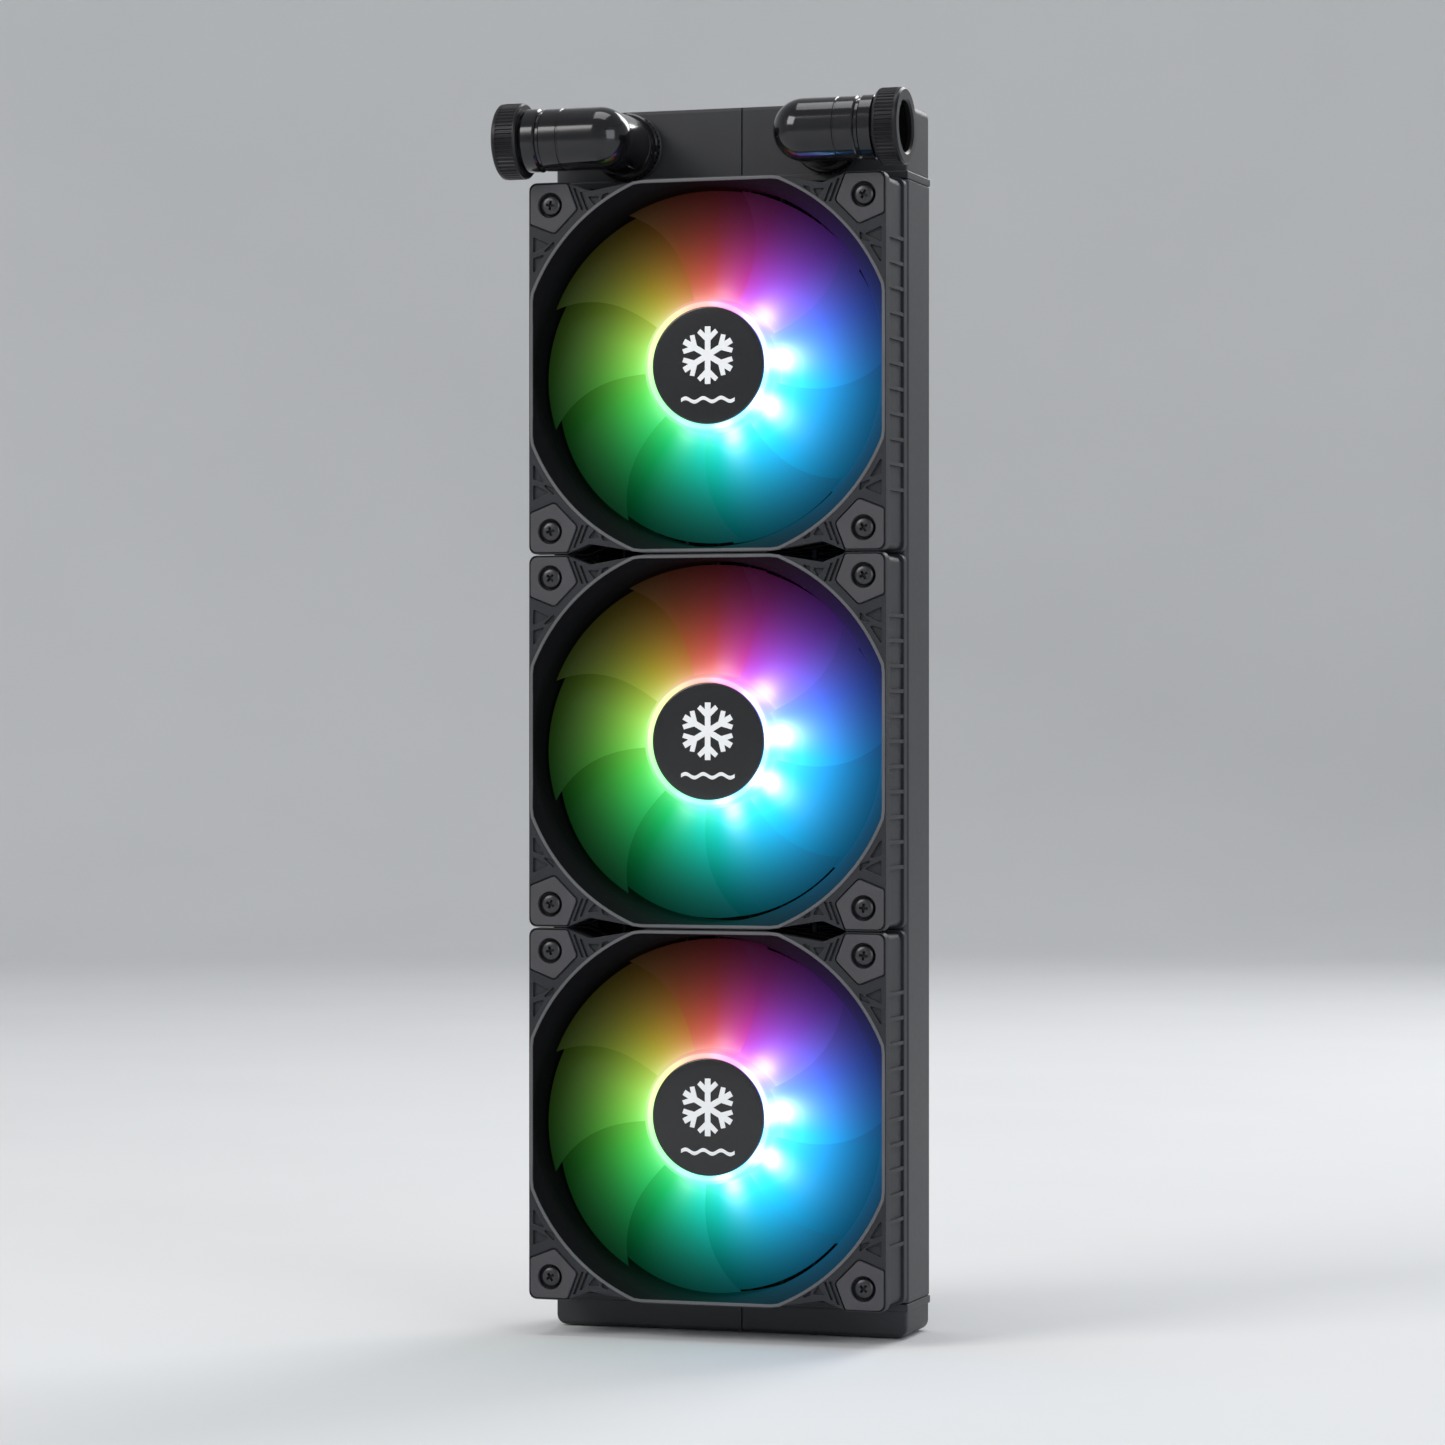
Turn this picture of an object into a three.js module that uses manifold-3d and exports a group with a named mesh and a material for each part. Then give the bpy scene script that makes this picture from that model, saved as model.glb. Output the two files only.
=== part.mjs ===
// A slim liquid cooling radiator with three lit 120 mm fans and two rotary elbow fittings.
//
// Every piece is modelled in a front frame: x to the right, y up along the radiator, z out of the
// front towards the air intake of the fans. The exported group turns that frame, so that +Z is up
// and the fans face -Y. The origin is the centre of the rear flange plane, where a bracket of the
// computer case holds the radiator. Lengths are millimetres.
import * as THREE from "three";
import { mergeVertices } from "three/addons/utils/BufferGeometryUtils.js";
import Module from "manifold-3d";

const wasm = await Module();
wasm.setup();

// Sides of the round shapes
const SIDES = { duct: 40, hub: 20, port: 18, small: 8 };

// Driving dimensions
const GAP = 0.3; // clearance between pieces that touch
const WIDTH = 120; // radiator and fans
const FAN_SIZE = 120;
const FAN_DEPTH = 25;
const FAN_ROWS = { top: 1, middle: 0, bottom: -1 };
const HOLE_OFFSET = 52.5; // screw holes stand 105 mm apart, square round a fan's centre
const DEPTH = 27; // radiator
const CORE_HALF = 180; // half the length that three fans cover
const TOP_TANK = 25; // tank heights
const BOTTOM_TANK = 11;
const SHEET = 1.2; // wall of the tanks and side channels
const FLANGE = 15; // how far a side channel's flange reaches over the core
const TUBES = 10;
const TUBE_THICK = 2;
const TUBE_WALL = 0.4;
const CORE_INSET = 4.6; // core behind the front face and ahead of the rear face
const HEADER_THICK = 1.2;
const FIN_TURNS = 12; // folds in one fin strip
const FIN_THICK = 1.6; // fin sheet, measured along the strip
const FIN_INSET = 1.2; // fins end short of the fans' outer edges

const PORT = { x: 34, y: 193, hole: 6.6, boss: 11, rise: 0.8, thread: 5.5 };
const FAN_Z = DEPTH + GAP; // rear face of the fans

// Fan, measured from its own rear face and centre
const FRAME = {
  edge: FAN_SIZE / 2 - GAP / 2,
  corner: 2.5, // outline radius
  notch: [17, 39, 47], // where the dip in the top and bottom edges starts, bottoms and ends
  dip: 3.15,
  duct: 57.9,
  mouth: 63, // bell mouth, cut off flat near the four sides
  mouthFlat: 58.5,
  mouthDepth: 3,
  hole: 2.15,
  sink: 4, // counterbore
  sinkDepth: 2.4,
  pad: 0.5, // how far the corner pads stand proud
};
// Corner pad outline, measured inwards from the fan's corner
const PAD = [[0.8, 2.4], [2.4, 0.8], [13.3, 0.8], [16.5, 9], [9, 16.5], [0.8, 13.3]];
const HUB = { plate: 25.5, plateThick: 2.5, tube: 6.2, bore: 4.6, tubeTop: 15.5 };
const STRUT = { count: 4, width: 5, height: 4, inner: 22, outer: 58.8, lean: 0.35 };
const SHAFT = { radius: 1.25, from: 3.2, to: 19.7 };
const BEARING = { inner: 1.6, outer: 4.3, from: 2.8, to: 15.2 };
const BOARD = { inner: 6.6, outer: 25, from: 2.8, to: 4.2 };
const STATOR = {
  inner: 6.5,
  root: 9,
  tip: 14.7,
  poles: 4,
  tooth: 4.4, // width of a pole's stem and of its shoe
  shoe: 10.4,
  shoeThick: 1.5,
  from: 4.8,
  to: 14.8,
};
const MAGNET = { inner: 16.4, outer: 19.4, from: 6, to: 18.1 };
const ROTOR = {
  outer: 21.5,
  inner: 19.75,
  from: 5.8,
  web: 18.5,
  seat: 20,
  front: 22.3,
  chamfer: [1.1, 0.8],
  boss: 3.5, // holds the shaft
  bossFrom: 16.2,
};
const CAP = { radius: 18.8, from: 20.3, to: 22, edge: 0.5 };
const BLADE = {
  count: 9,
  root: 20.8,
  tip: 56.6,
  span: [0.88, 0.79], // angle that one blade covers at its root and at its tip, radians
  sweep: 0.3, // how far the tip leads the root, radians
  rear: [6.6, 8], // trailing edge height at root and tip
  front: [18.2, 16.4], // leading edge height
  thick: [1.7, 1.3],
  bow: 0.9,
  steps: 3,
};

const SCREW = { head: 3.3, headHeight: 1.8, headEdge: [1, 0.7], shank: 1.5, clearance: 0.4, tip: 24.2 };

// Elbow fitting, measured from the tank's front face
const ELBOW = {
  foot: -4.5,
  flange: 11,
  flangeTop: 5,
  ring: 9.5,
  ringTop: 9.1,
  spigot: 6.1,
  spigotTop: 14.5,
  stub: 6.2,
  bore: 4.2,
  axis: 28, // height of the barrel over the tank
  body: 10,
  barrel: 24.4, // where the collar thread starts
  thread: 9,
  threadEnd: 31,
  tube: 8.15, // socket for 16 mm tube
  tubeFrom: 18,
};
const COLLAR = { outer: 12.2, inner: 9.3, from: 25.2, lip: 31.3, to: 33.5 };
const SEAL = { inner: 7.3, outer: 9.1, top: 2 };

// Finishes
const finish = (color, roughness, metalness) =>
  new THREE.MeshStandardMaterial({ color, roughness, metalness, flatShading: true });
const BLACK_PAINT = finish(0x2c2d30, 0.55, 0.3);
const FRAME_PLASTIC = finish(0x3a3b3e, 0.6, 0);
const BLADE_PLASTIC = finish(0xdfe6ea, 0.35, 0);
const CAP_PLASTIC = finish(0x0c0c0d, 0.3, 0);
const COIL_COPPER = finish(0xa35a2c, 0.4, 0.8);
const STEEL = finish(0x8d9094, 0.35, 1);
const BRONZE = finish(0x9b7a45, 0.4, 1);
const BOARD_WHITE = finish(0xe6e8e6, 0.5, 0);
const SCREW_BLACK = finish(0x1b1b1d, 0.4, 0.7);
const TUBE_PAINT = finish(0x3a3733, 0.45, 0.6);
const FIN_PAINT = finish(0x232325, 0.5, 0.6);
const FITTING_BLACK = finish(0x141415, 0.22, 0.4);
const RUBBER = finish(0x0b0b0b, 0.85, 0);

// Turns a closed geometry into a solid that can be joined and cut.
function solid(geometry) {
  const bare = geometry.clone();
  bare.deleteAttribute("normal");
  bare.deleteAttribute("uv");
  const merged = mergeVertices(bare, 1e-4);
  const corners = merged.index.array;
  const triVerts = [];
  for (let i = 0; i < corners.length; i += 3) {
    const [a, b, c] = corners.slice(i, i + 3);
    if (a !== b && b !== c && c !== a) triVerts.push(a, b, c); // a lathe folds faces on its axis
  }
  const vertProperties = merged.attributes.position.array;
  const data = { numProp: 3, vertProperties, triVerts: new Uint32Array(triVerts) };
  return new wasm.Manifold(new wasm.Mesh(data));
}

function mesh(name, shape, material) {
  const made = shape.getMesh();
  const geometry = new THREE.BufferGeometry()
    .setAttribute("position", new THREE.BufferAttribute(made.vertProperties, 3))
    .setIndex(new THREE.BufferAttribute(made.triVerts, 1));
  const piece = new THREE.Mesh(geometry, material);
  piece.name = name;
  return piece;
}

const joined = (solids) => solids.reduce((all, one) => all.add(one));
const without = (body, cuts) => cuts.reduce((left, cut) => left.subtract(cut), body);

// A block between two corners.
function block(low, high) {
  const size = high.map((v, i) => v - low[i]);
  const box = new THREE.BoxGeometry(...size);
  return solid(box.translate(...low.map((v, i) => v + size[i] / 2)));
}

// An outline in the x-y plane, extruded from one z to another.
function plate(shape, from, to, curveSegments = 2) {
  const settings = { depth: to - from, bevelEnabled: false, curveSegments };
  return solid(new THREE.ExtrudeGeometry(shape, settings).translate(0, 0, from));
}

const polygon = (points) => new THREE.Shape(points.map(([x, y]) => new THREE.Vector2(x, y)));

// A profile of [radius, z] points turned round the z axis; it rises on the outside.
function turned(profile, segments) {
  const points = profile.map(([r, z]) => new THREE.Vector2(r, z));
  return solid(new THREE.LatheGeometry(points, segments).rotateX(Math.PI / 2));
}

const disc = (radius, from, to, segments) =>
  turned([[0, from], [radius, from], [radius, to], [0, to]], segments);

const ring = (inner, outer, from, to, segments) =>
  turned([[inner, from], [outer, from], [outer, to], [inner, to], [inner, from]], segments);

function roundedRectangle(left, bottom, right, top, radius) {
  const shape = new THREE.Shape();
  const quarter = Math.PI / 2;
  shape.absarc(right - radius, top - radius, radius, 0, quarter);
  shape.absarc(left + radius, top - radius, radius, quarter, 2 * quarter);
  shape.absarc(left + radius, bottom + radius, radius, 2 * quarter, 3 * quarter);
  shape.absarc(right - radius, bottom + radius, radius, 3 * quarter, 4 * quarter);
  shape.closePath();
  return shape;
}

// A tank is a box that opens onto its header plate. The top tank has two threaded ports, and a
// partition between them sends the coolant down one half of the core and up the other.
function tank(name, side, height, hasPorts) {
  const near = CORE_HALF;
  const far = near + height;
  const half = WIDTH / 2;
  const shell = plate(roundedRectangle(-half, near, half, far, 3), 0, DEPTH);
  const hollow = block(
    [-half + SHEET, near - 1, SHEET],
    [half - SHEET, far - SHEET, DEPTH - SHEET],
  );
  let body = shell.subtract(hollow);
  if (hasPorts) {
    const wall = SHEET / 2;
    const partition = block([-wall, near + 2, wall], [wall, far - wall, DEPTH - wall]);
    body = body.add(partition);
    for (const x of [-PORT.x, PORT.x]) {
      const boss = disc(PORT.boss, DEPTH - wall, DEPTH + PORT.rise, SIDES.port);
      const sleeve = disc(PORT.boss - 2, DEPTH - PORT.thread, DEPTH, SIDES.port);
      const hole = disc(PORT.hole, DEPTH - PORT.thread - 1, DEPTH + 2, SIDES.port);
      body = body.add(boss.add(sleeve).translate([x, PORT.y, 0]));
      body = body.subtract(hole.translate([x, PORT.y, 0]));
    }
  }
  const piece = mesh(name, body, BLACK_PAINT);
  if (side < 0) piece.rotation.z = Math.PI;
  return piece;
}

// A side channel is a folded sheet: a web outside, and a flange over each face of the core.
function sideChannel(name, side) {
  const half = WIDTH / 2;
  const end = CORE_HALF - GAP;
  const inner = half - FLANGE;
  const span = (from, to) => [Math.min(side * from, side * to), Math.max(side * from, side * to)];
  const sheet = (from, to, low, high) => {
    const [left, right] = span(from, to);
    return block([left, -end, low], [right, end, high]);
  };
  const folded = joined([
    sheet(half - SHEET, half, 0, DEPTH),
    sheet(inner, half, 0, SHEET),
    sheet(inner, half, DEPTH - SHEET, DEPTH),
  ]);
  const holes = [];
  for (const row of Object.values(FAN_ROWS)) {
    for (const step of [-HOLE_OFFSET, HOLE_OFFSET]) {
      const hole = disc(SCREW.shank + SCREW.clearance, -1, DEPTH + 1, SIDES.small);
      holes.push(hole.translate([side * HOLE_OFFSET, row * FAN_SIZE + step, 0]));
    }
  }
  return mesh(name, without(folded, holes), BLACK_PAINT);
}

const coreHalf = WIDTH / 2 - SHEET - GAP;
const coreWidth = 2 * coreHalf;
const finWidth = (coreWidth - TUBES * (TUBE_THICK + 2 * GAP)) / (TUBES + 1);
const corePitch = finWidth + TUBE_THICK + 2 * GAP;

// Ten flat tubes, open through the header plate that closes each end of the core.
function tubeBank() {
  const back = CORE_INSET;
  const front = DEPTH - CORE_INSET;
  const wall = TUBE_WALL;
  const near = CORE_HALF + GAP;
  const far = near + HEADER_THICK;
  const inset = SHEET + GAP;
  const solids = [
    block([-coreHalf, near, inset], [coreHalf, far, DEPTH - inset]),
    block([-coreHalf, -far, inset], [coreHalf, -near, DEPTH - inset]),
  ];
  const channels = [];
  for (let i = 0; i < TUBES; i++) {
    const left = -coreHalf + finWidth + GAP + i * corePitch;
    const right = left + TUBE_THICK;
    solids.push(block([left, -far, back], [right, far, front]));
    const low = [left + wall, -far - 1, back + wall];
    channels.push(block(low, [right - wall, far + 1, front - wall]));
  }
  return mesh("tube_bank", without(joined(solids), channels), TUBE_PAINT);
}

// A fin strip is one sheet, folded to and fro between two tubes.
function finStrip(index) {
  const left = -coreHalf + index * corePitch;
  const end = CORE_HALF - FIN_INSET;
  const rise = (2 * end) / FIN_TURNS;
  const half = FIN_THICK / 2;
  const folds = [];
  for (let i = 0; i < FIN_TURNS; i++) {
    const y = -end + i * rise;
    const [first, last] = i % 2 ? [y + rise, y] : [y, y + rise];
    const right = left + finWidth;
    const outline = [
      [left, first - half],
      [right, last - half],
      [right, last + half],
      [left, first + half],
    ];
    folds.push(plate(polygon(outline), CORE_INSET, DEPTH - CORE_INSET));
  }
  const name = "fin_strip_" + String(index + 1).padStart(2, "0");
  return mesh(name, joined(folds), FIN_PAINT);
}

// The fan's outline: straight sides, and a shallow dip beside each corner of the top and bottom.
function fanOutline() {
  const { edge, corner, dip, notch } = FRAME;
  const shape = new THREE.Shape();
  const centre = edge - corner;
  const quarter = Math.PI / 2;
  const heights = [edge, edge - dip, edge];
  shape.absarc(centre, centre, corner, 0, quarter);
  [2, 1, 0].forEach((i) => shape.lineTo(notch[i], heights[i]));
  [0, 1, 2].forEach((i) => shape.lineTo(-notch[i], heights[i]));
  shape.absarc(-centre, centre, corner, quarter, 2 * quarter);
  shape.absarc(-centre, -centre, corner, 2 * quarter, 3 * quarter);
  [2, 1, 0].forEach((i) => shape.lineTo(-notch[i], -heights[i]));
  [0, 1, 2].forEach((i) => shape.lineTo(notch[i], -heights[i]));
  shape.absarc(centre, -centre, corner, 3 * quarter, 4 * quarter);
  shape.closePath();
  return shape;
}

const CORNERS = [[1, 1], [-1, 1], [-1, -1], [1, -1]];

function cornerPad([x, y]) {
  const at = ([dx, dy]) => [x * (FAN_SIZE / 2 - dx), y * (FAN_SIZE / 2 - dy)];
  const outline = PAD.map(at);
  if (x * y < 0) outline.reverse();
  return plate(polygon(outline), FAN_DEPTH - FRAME.pad - 0.5, FAN_DEPTH);
}

// Struts lean a little off the radius, so that the blades pass them gradually.
function strut(index) {
  const half = STRUT.width / 2;
  const bar = block([STRUT.inner, -half, 0], [STRUT.outer, half, STRUT.height]);
  const turn = (index + 0.5) * (360 / STRUT.count);
  return bar.translate([0, STRUT.inner * STRUT.lean, 0]).rotate([0, 0, turn]);
}

function fanFrame(name) {
  const body = plate(fanOutline(), 0, FAN_DEPTH - FRAME.pad);
  const flat = FRAME.mouthFlat;
  const mouthFrom = FAN_DEPTH - FRAME.pad - FRAME.mouthDepth;
  const mouth = disc(FRAME.mouth, mouthFrom, FAN_DEPTH + 1, SIDES.duct).intersect(
    block([-flat, -flat, 0], [flat, flat, FAN_DEPTH + 2]),
  );
  const duct = disc(FRAME.duct, -1, FAN_DEPTH + 1, SIDES.duct);
  const open = without(body, [mouth, duct]);
  const struts = Array.from({ length: STRUT.count }, (_, i) => strut(i));
  const shell = joined([
    open,
    ...CORNERS.map(cornerPad),
    ...struts,
    disc(HUB.plate, 0, HUB.plateThick, SIDES.hub),
    disc(HUB.tube, 1, HUB.tubeTop, SIDES.small),
  ]);
  const holes = CORNERS.map(([x, y]) =>
    disc(FRAME.hole, -1, FAN_DEPTH + 1, SIDES.small)
      .add(disc(FRAME.sink, FAN_DEPTH - FRAME.sinkDepth, FAN_DEPTH + 1, SIDES.small))
      .translate([x * HOLE_OFFSET, y * HOLE_OFFSET, 0]),
  );
  const bore = disc(HUB.bore, HUB.plateThick - 0.5, HUB.tubeTop + 1, SIDES.small);
  const cuts = [...holes, bore, boardRelief()];
  return mesh(name, without(shell, cuts), FRAME_PLASTIC);
}

// Room over the hub plate for the circuit board, through the roots of the struts.
function boardRelief() {
  const rim = BOARD.outer + GAP;
  return ring(HUB.tube, rim, HUB.plateThick, STRUT.height + 1, SIDES.hub);
}

// A blade is a thin twisted sheet: its leading edge is in front, and its tip leads its root.
function blade() {
  const steps = BLADE.steps;
  const mix = ([a, b], s) => a + (b - a) * s;
  const grid = [];
  for (const face of [-1, 1]) {
    for (let i = 0; i <= steps; i++) {
      const s = i / steps;
      const radius = mix([BLADE.root, BLADE.tip], s);
      for (let j = 0; j <= steps; j++) {
        const t = j / steps;
        const angle = BLADE.sweep * s * s + mix(BLADE.span, s) * (t - 0.5);
        const bow = BLADE.bow * Math.sin(Math.PI * t);
        const height = mix(BLADE.rear, s) + (mix(BLADE.front, s) - mix(BLADE.rear, s)) * t + bow;
        const lift = (face * mix(BLADE.thick, s)) / 2;
        grid.push(radius * Math.cos(angle), radius * Math.sin(angle), height + lift);
      }
    }
  }
  const at = (face, i, j) => (face * (steps + 1) + i) * (steps + 1) + j;
  const faces = [];
  const quad = (a, b, c, d) => faces.push(a, b, c, a, c, d);
  for (let i = 0; i < steps; i++) {
    for (let j = 0; j < steps; j++) {
      quad(at(1, i, j), at(1, i + 1, j), at(1, i + 1, j + 1), at(1, i, j + 1));
      quad(at(0, i, j), at(0, i, j + 1), at(0, i + 1, j + 1), at(0, i + 1, j));
    }
    quad(at(0, i, 0), at(0, i + 1, 0), at(1, i + 1, 0), at(1, i, 0));
    quad(at(0, i + 1, steps), at(0, i, steps), at(1, i, steps), at(1, i + 1, steps));
    quad(at(0, 0, i + 1), at(0, 0, i), at(1, 0, i), at(1, 0, i + 1));
    quad(at(0, steps, i), at(0, steps, i + 1), at(1, steps, i + 1), at(1, steps, i));
  }
  const geometry = new THREE.BufferGeometry();
  geometry.setAttribute("position", new THREE.Float32BufferAttribute(grid, 3));
  geometry.setIndex(faces);
  return solid(geometry);
}

// The impeller: a cup that covers the motor, a seat for the cap in its front, and the blades.
function impeller(name) {
  const [inwards, backwards] = ROTOR.chamfer;
  const cup = turned(
    [
      [SHAFT.radius + GAP, ROTOR.bossFrom],
      [ROTOR.boss, ROTOR.bossFrom],
      [ROTOR.boss, ROTOR.web],
      [ROTOR.inner, ROTOR.web],
      [ROTOR.inner, ROTOR.from],
      [ROTOR.outer, ROTOR.from],
      [ROTOR.outer, ROTOR.front - backwards],
      [ROTOR.outer - inwards, ROTOR.front],
      [CAP.radius + GAP, ROTOR.front],
      [CAP.radius + GAP, ROTOR.seat],
      [SHAFT.radius + GAP, ROTOR.seat],
      [SHAFT.radius + GAP, ROTOR.bossFrom],
    ],
    SIDES.hub,
  );
  const one = blade();
  const blades = [];
  for (let i = 0; i < BLADE.count; i++) blades.push(one.rotate([0, 0, (i * 360) / BLADE.count]));
  return mesh(name, joined([cup, ...blades]), BLADE_PLASTIC);
}

function hubCap(name) {
  const { radius, from, to, edge } = CAP;
  const profile = [
    [0, from],
    [radius, from],
    [radius, to - edge],
    [radius - edge, to],
    [0, to],
  ];
  return mesh(name, turned(profile, SIDES.hub), CAP_PLASTIC);
}

// A laminated core with one pole for each winding.
function stator(name) {
  const { inner, root, tip, poles, from, to, shoeThick } = STATOR;
  const stem = STATOR.tooth / 2;
  const wing = STATOR.shoe / 2;
  const parts = [disc(root, from, to, SIDES.small)];
  for (let i = 0; i < poles; i++) {
    const tooth = block([root - 1, -stem, from], [tip - shoeThick / 3, stem, to]);
    const shoe = block([tip - shoeThick, -wing, from + 1], [tip, wing, to - 1]);
    parts.push(tooth.add(shoe).rotate([0, 0, (i * 360) / poles]));
  }
  const bore = disc(inner, from - 1, to + 1, SIDES.small);
  return mesh(name, joined(parts).subtract(bore), COIL_COPPER);
}

function screw(name, corner) {
  const seat = FAN_Z + FAN_DEPTH - FRAME.sinkDepth + GAP;
  const top = seat + SCREW.headHeight;
  const [inwards, down] = SCREW.headEdge;
  const profile = [
    [0, SCREW.tip],
    [SCREW.shank, SCREW.tip],
    [SCREW.shank, seat],
    [SCREW.head, seat],
    [SCREW.head, top - down],
    [SCREW.head - inwards, top],
    [0, top],
  ];
  const piece = mesh(name, turned(profile, SIDES.small), SCREW_BLACK);
  piece.position.set(corner[0] * HOLE_OFFSET, corner[1] * HOLE_OFFSET, -FAN_Z);
  return piece;
}

function spanRing(name, { inner, outer, from, to }, segments, material) {
  return mesh(name, ring(inner, outer, from, to, segments), material);
}

function fan(row) {
  const name = "fan_" + row + "_";
  const group = new THREE.Group();
  group.add(
    fanFrame(name + "frame"),
    impeller(name + "impeller"),
    hubCap(name + "hub_cap"),
    spanRing(name + "rotor_magnet", MAGNET, SIDES.hub, STEEL),
    mesh(name + "shaft", disc(SHAFT.radius, SHAFT.from, SHAFT.to, SIDES.small), STEEL),
    spanRing(name + "bearing", BEARING, SIDES.small, BRONZE),
    stator(name + "stator"),
    spanRing(name + "circuit_board", BOARD, SIDES.hub, BOARD_WHITE),
    ...CORNERS.map((corner, i) => screw(name + "screw_" + (i + 1), corner)),
  );
  group.position.set(0, FAN_ROWS[row] * FAN_SIZE, FAN_Z);
  return group;
}

// The fitting's base screws into the port and carries the swivel spigot.
function elbowBase(name) {
  const rise = PORT.rise + GAP;
  const shape = turned(
    [
      [ELBOW.bore, ELBOW.foot],
      [ELBOW.stub, ELBOW.foot],
      [ELBOW.stub, rise],
      [SEAL.inner - GAP, rise],
      [SEAL.inner - GAP, SEAL.top + GAP],
      [SEAL.outer + GAP, SEAL.top + GAP],
      [SEAL.outer + GAP, rise],
      [ELBOW.flange, rise],
      [ELBOW.flange, ELBOW.flangeTop],
      [ELBOW.ring, ELBOW.flangeTop],
      [ELBOW.ring, ELBOW.ringTop],
      [ELBOW.spigot, ELBOW.ringTop],
      [ELBOW.spigot, ELBOW.spigotTop],
      [ELBOW.bore, ELBOW.spigotTop],
      [ELBOW.bore, ELBOW.foot],
    ],
    SIDES.port,
  );
  return mesh(name, shape, FITTING_BLACK);
}

// The body turns on the spigot. Its barrel leaves sideways and ends in the collar's thread.
function elbowBody(name) {
  const foot = ELBOW.ringTop + GAP;
  const sideways = (shape) => shape.rotate([0, -90, 0]).translate([0, 0, ELBOW.axis]);
  const ball = new THREE.SphereGeometry(ELBOW.body, SIDES.port, SIDES.small);
  const outside = joined([
    disc(ELBOW.body, foot, ELBOW.axis, SIDES.port),
    solid(ball.translate(0, 0, ELBOW.axis)),
    sideways(disc(ELBOW.body, 0, ELBOW.barrel, SIDES.port)),
    sideways(disc(ELBOW.thread, ELBOW.barrel - 1, ELBOW.threadEnd, SIDES.port)),
  ]);
  const body = without(outside, [
    disc(ELBOW.spigot + GAP, foot - 1, ELBOW.spigotTop + GAP, SIDES.port),
    disc(ELBOW.bore, foot - 1, ELBOW.axis + 2, SIDES.small),
    sideways(disc(ELBOW.bore, -2, ELBOW.tubeFrom + 1, SIDES.small)),
    sideways(disc(ELBOW.tube, ELBOW.tubeFrom, ELBOW.threadEnd + 1, SIDES.port)),
  ]);
  return mesh(name, body, FITTING_BLACK);
}

function elbowCollar(name) {
  const { outer, inner, from, lip, to } = COLLAR;
  const shape = turned(
    [
      [inner, from],
      [outer, from],
      [outer, to],
      [ELBOW.tube, to],
      [ELBOW.tube, lip],
      [inner, lip],
      [inner, from],
    ],
    SIDES.port,
  );
  return mesh(name, shape.rotate([0, -90, 0]).translate([0, 0, ELBOW.axis]), FITTING_BLACK);
}

// The left elbow's barrel points left; the right one is the same fitting turned half round.
function elbow(side) {
  const name = side < 0 ? "elbow_left_" : "elbow_right_";
  const group = new THREE.Group();
  const seal = { ...SEAL, from: PORT.rise + GAP, to: SEAL.top };
  group.add(
    elbowBase(name + "base"),
    spanRing(name + "seal", seal, SIDES.port, RUBBER),
    elbowBody(name + "body"),
    elbowCollar(name + "collar"),
  );
  group.position.set(side * PORT.x, PORT.y, DEPTH);
  if (side > 0) group.rotation.z = Math.PI;
  return group;
}

const radiator = new THREE.Group();
radiator.add(
  tank("top_tank", 1, TOP_TANK, true),
  tank("bottom_tank", -1, BOTTOM_TANK, false),
  sideChannel("side_channel_left", -1),
  sideChannel("side_channel_right", 1),
  tubeBank(),
);
for (let i = 0; i <= TUBES; i++) radiator.add(finStrip(i));
for (const row of Object.keys(FAN_ROWS)) radiator.add(fan(row));
radiator.add(elbow(-1), elbow(1));
radiator.rotation.x = Math.PI / 2;

const part = new THREE.Group();
part.add(radiator);
export default part;
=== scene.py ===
"""The looks of a liquid cooling radiator with three lit fans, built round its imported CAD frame.

Pieces are modelled in millimetres in a front frame: x to the right, y up along the radiator and z
out of the front, as the CAD is. place() turns that frame so that +Z is up and the fans face -Y.
"""
import math

import bmesh
import bpy
from mathutils import Matrix, Vector


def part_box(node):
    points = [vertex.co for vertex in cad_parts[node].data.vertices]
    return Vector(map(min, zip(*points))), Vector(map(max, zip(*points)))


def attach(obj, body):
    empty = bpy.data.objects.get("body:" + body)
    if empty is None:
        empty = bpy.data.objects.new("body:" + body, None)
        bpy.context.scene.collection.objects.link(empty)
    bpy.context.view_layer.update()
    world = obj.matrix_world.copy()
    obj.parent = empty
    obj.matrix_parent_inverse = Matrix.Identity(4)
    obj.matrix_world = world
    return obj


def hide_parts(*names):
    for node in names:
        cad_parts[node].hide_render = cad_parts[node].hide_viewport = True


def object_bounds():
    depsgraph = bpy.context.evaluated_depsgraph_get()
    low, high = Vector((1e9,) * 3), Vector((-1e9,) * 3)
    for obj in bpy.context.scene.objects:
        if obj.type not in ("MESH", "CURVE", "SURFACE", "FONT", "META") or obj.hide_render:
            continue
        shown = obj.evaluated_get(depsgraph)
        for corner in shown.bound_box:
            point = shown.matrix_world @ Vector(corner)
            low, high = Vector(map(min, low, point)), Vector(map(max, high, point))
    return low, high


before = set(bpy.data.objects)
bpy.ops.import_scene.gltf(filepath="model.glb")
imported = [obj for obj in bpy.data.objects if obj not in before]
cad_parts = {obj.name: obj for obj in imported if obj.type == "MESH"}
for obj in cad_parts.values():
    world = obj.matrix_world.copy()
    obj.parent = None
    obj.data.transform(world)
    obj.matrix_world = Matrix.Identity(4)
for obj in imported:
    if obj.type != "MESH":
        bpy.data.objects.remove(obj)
cad_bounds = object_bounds()

MM = 0.001
FRONT = Matrix.Rotation(math.pi / 2, 4, "X")
ROWS = ("top", "middle", "bottom")
SIDES = {"left": -1, "right": 1}


def in_front_frame(node):
    """A CAD node's (lowest, highest) corners in millimetres in the front frame."""
    low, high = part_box(node)
    return (
        Vector((low.x, low.z, -high.y)) / MM,
        Vector((high.x, high.z, -low.y)) / MM,
    )


# ---------------------------------------------------------------- sizes read from the frame

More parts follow.
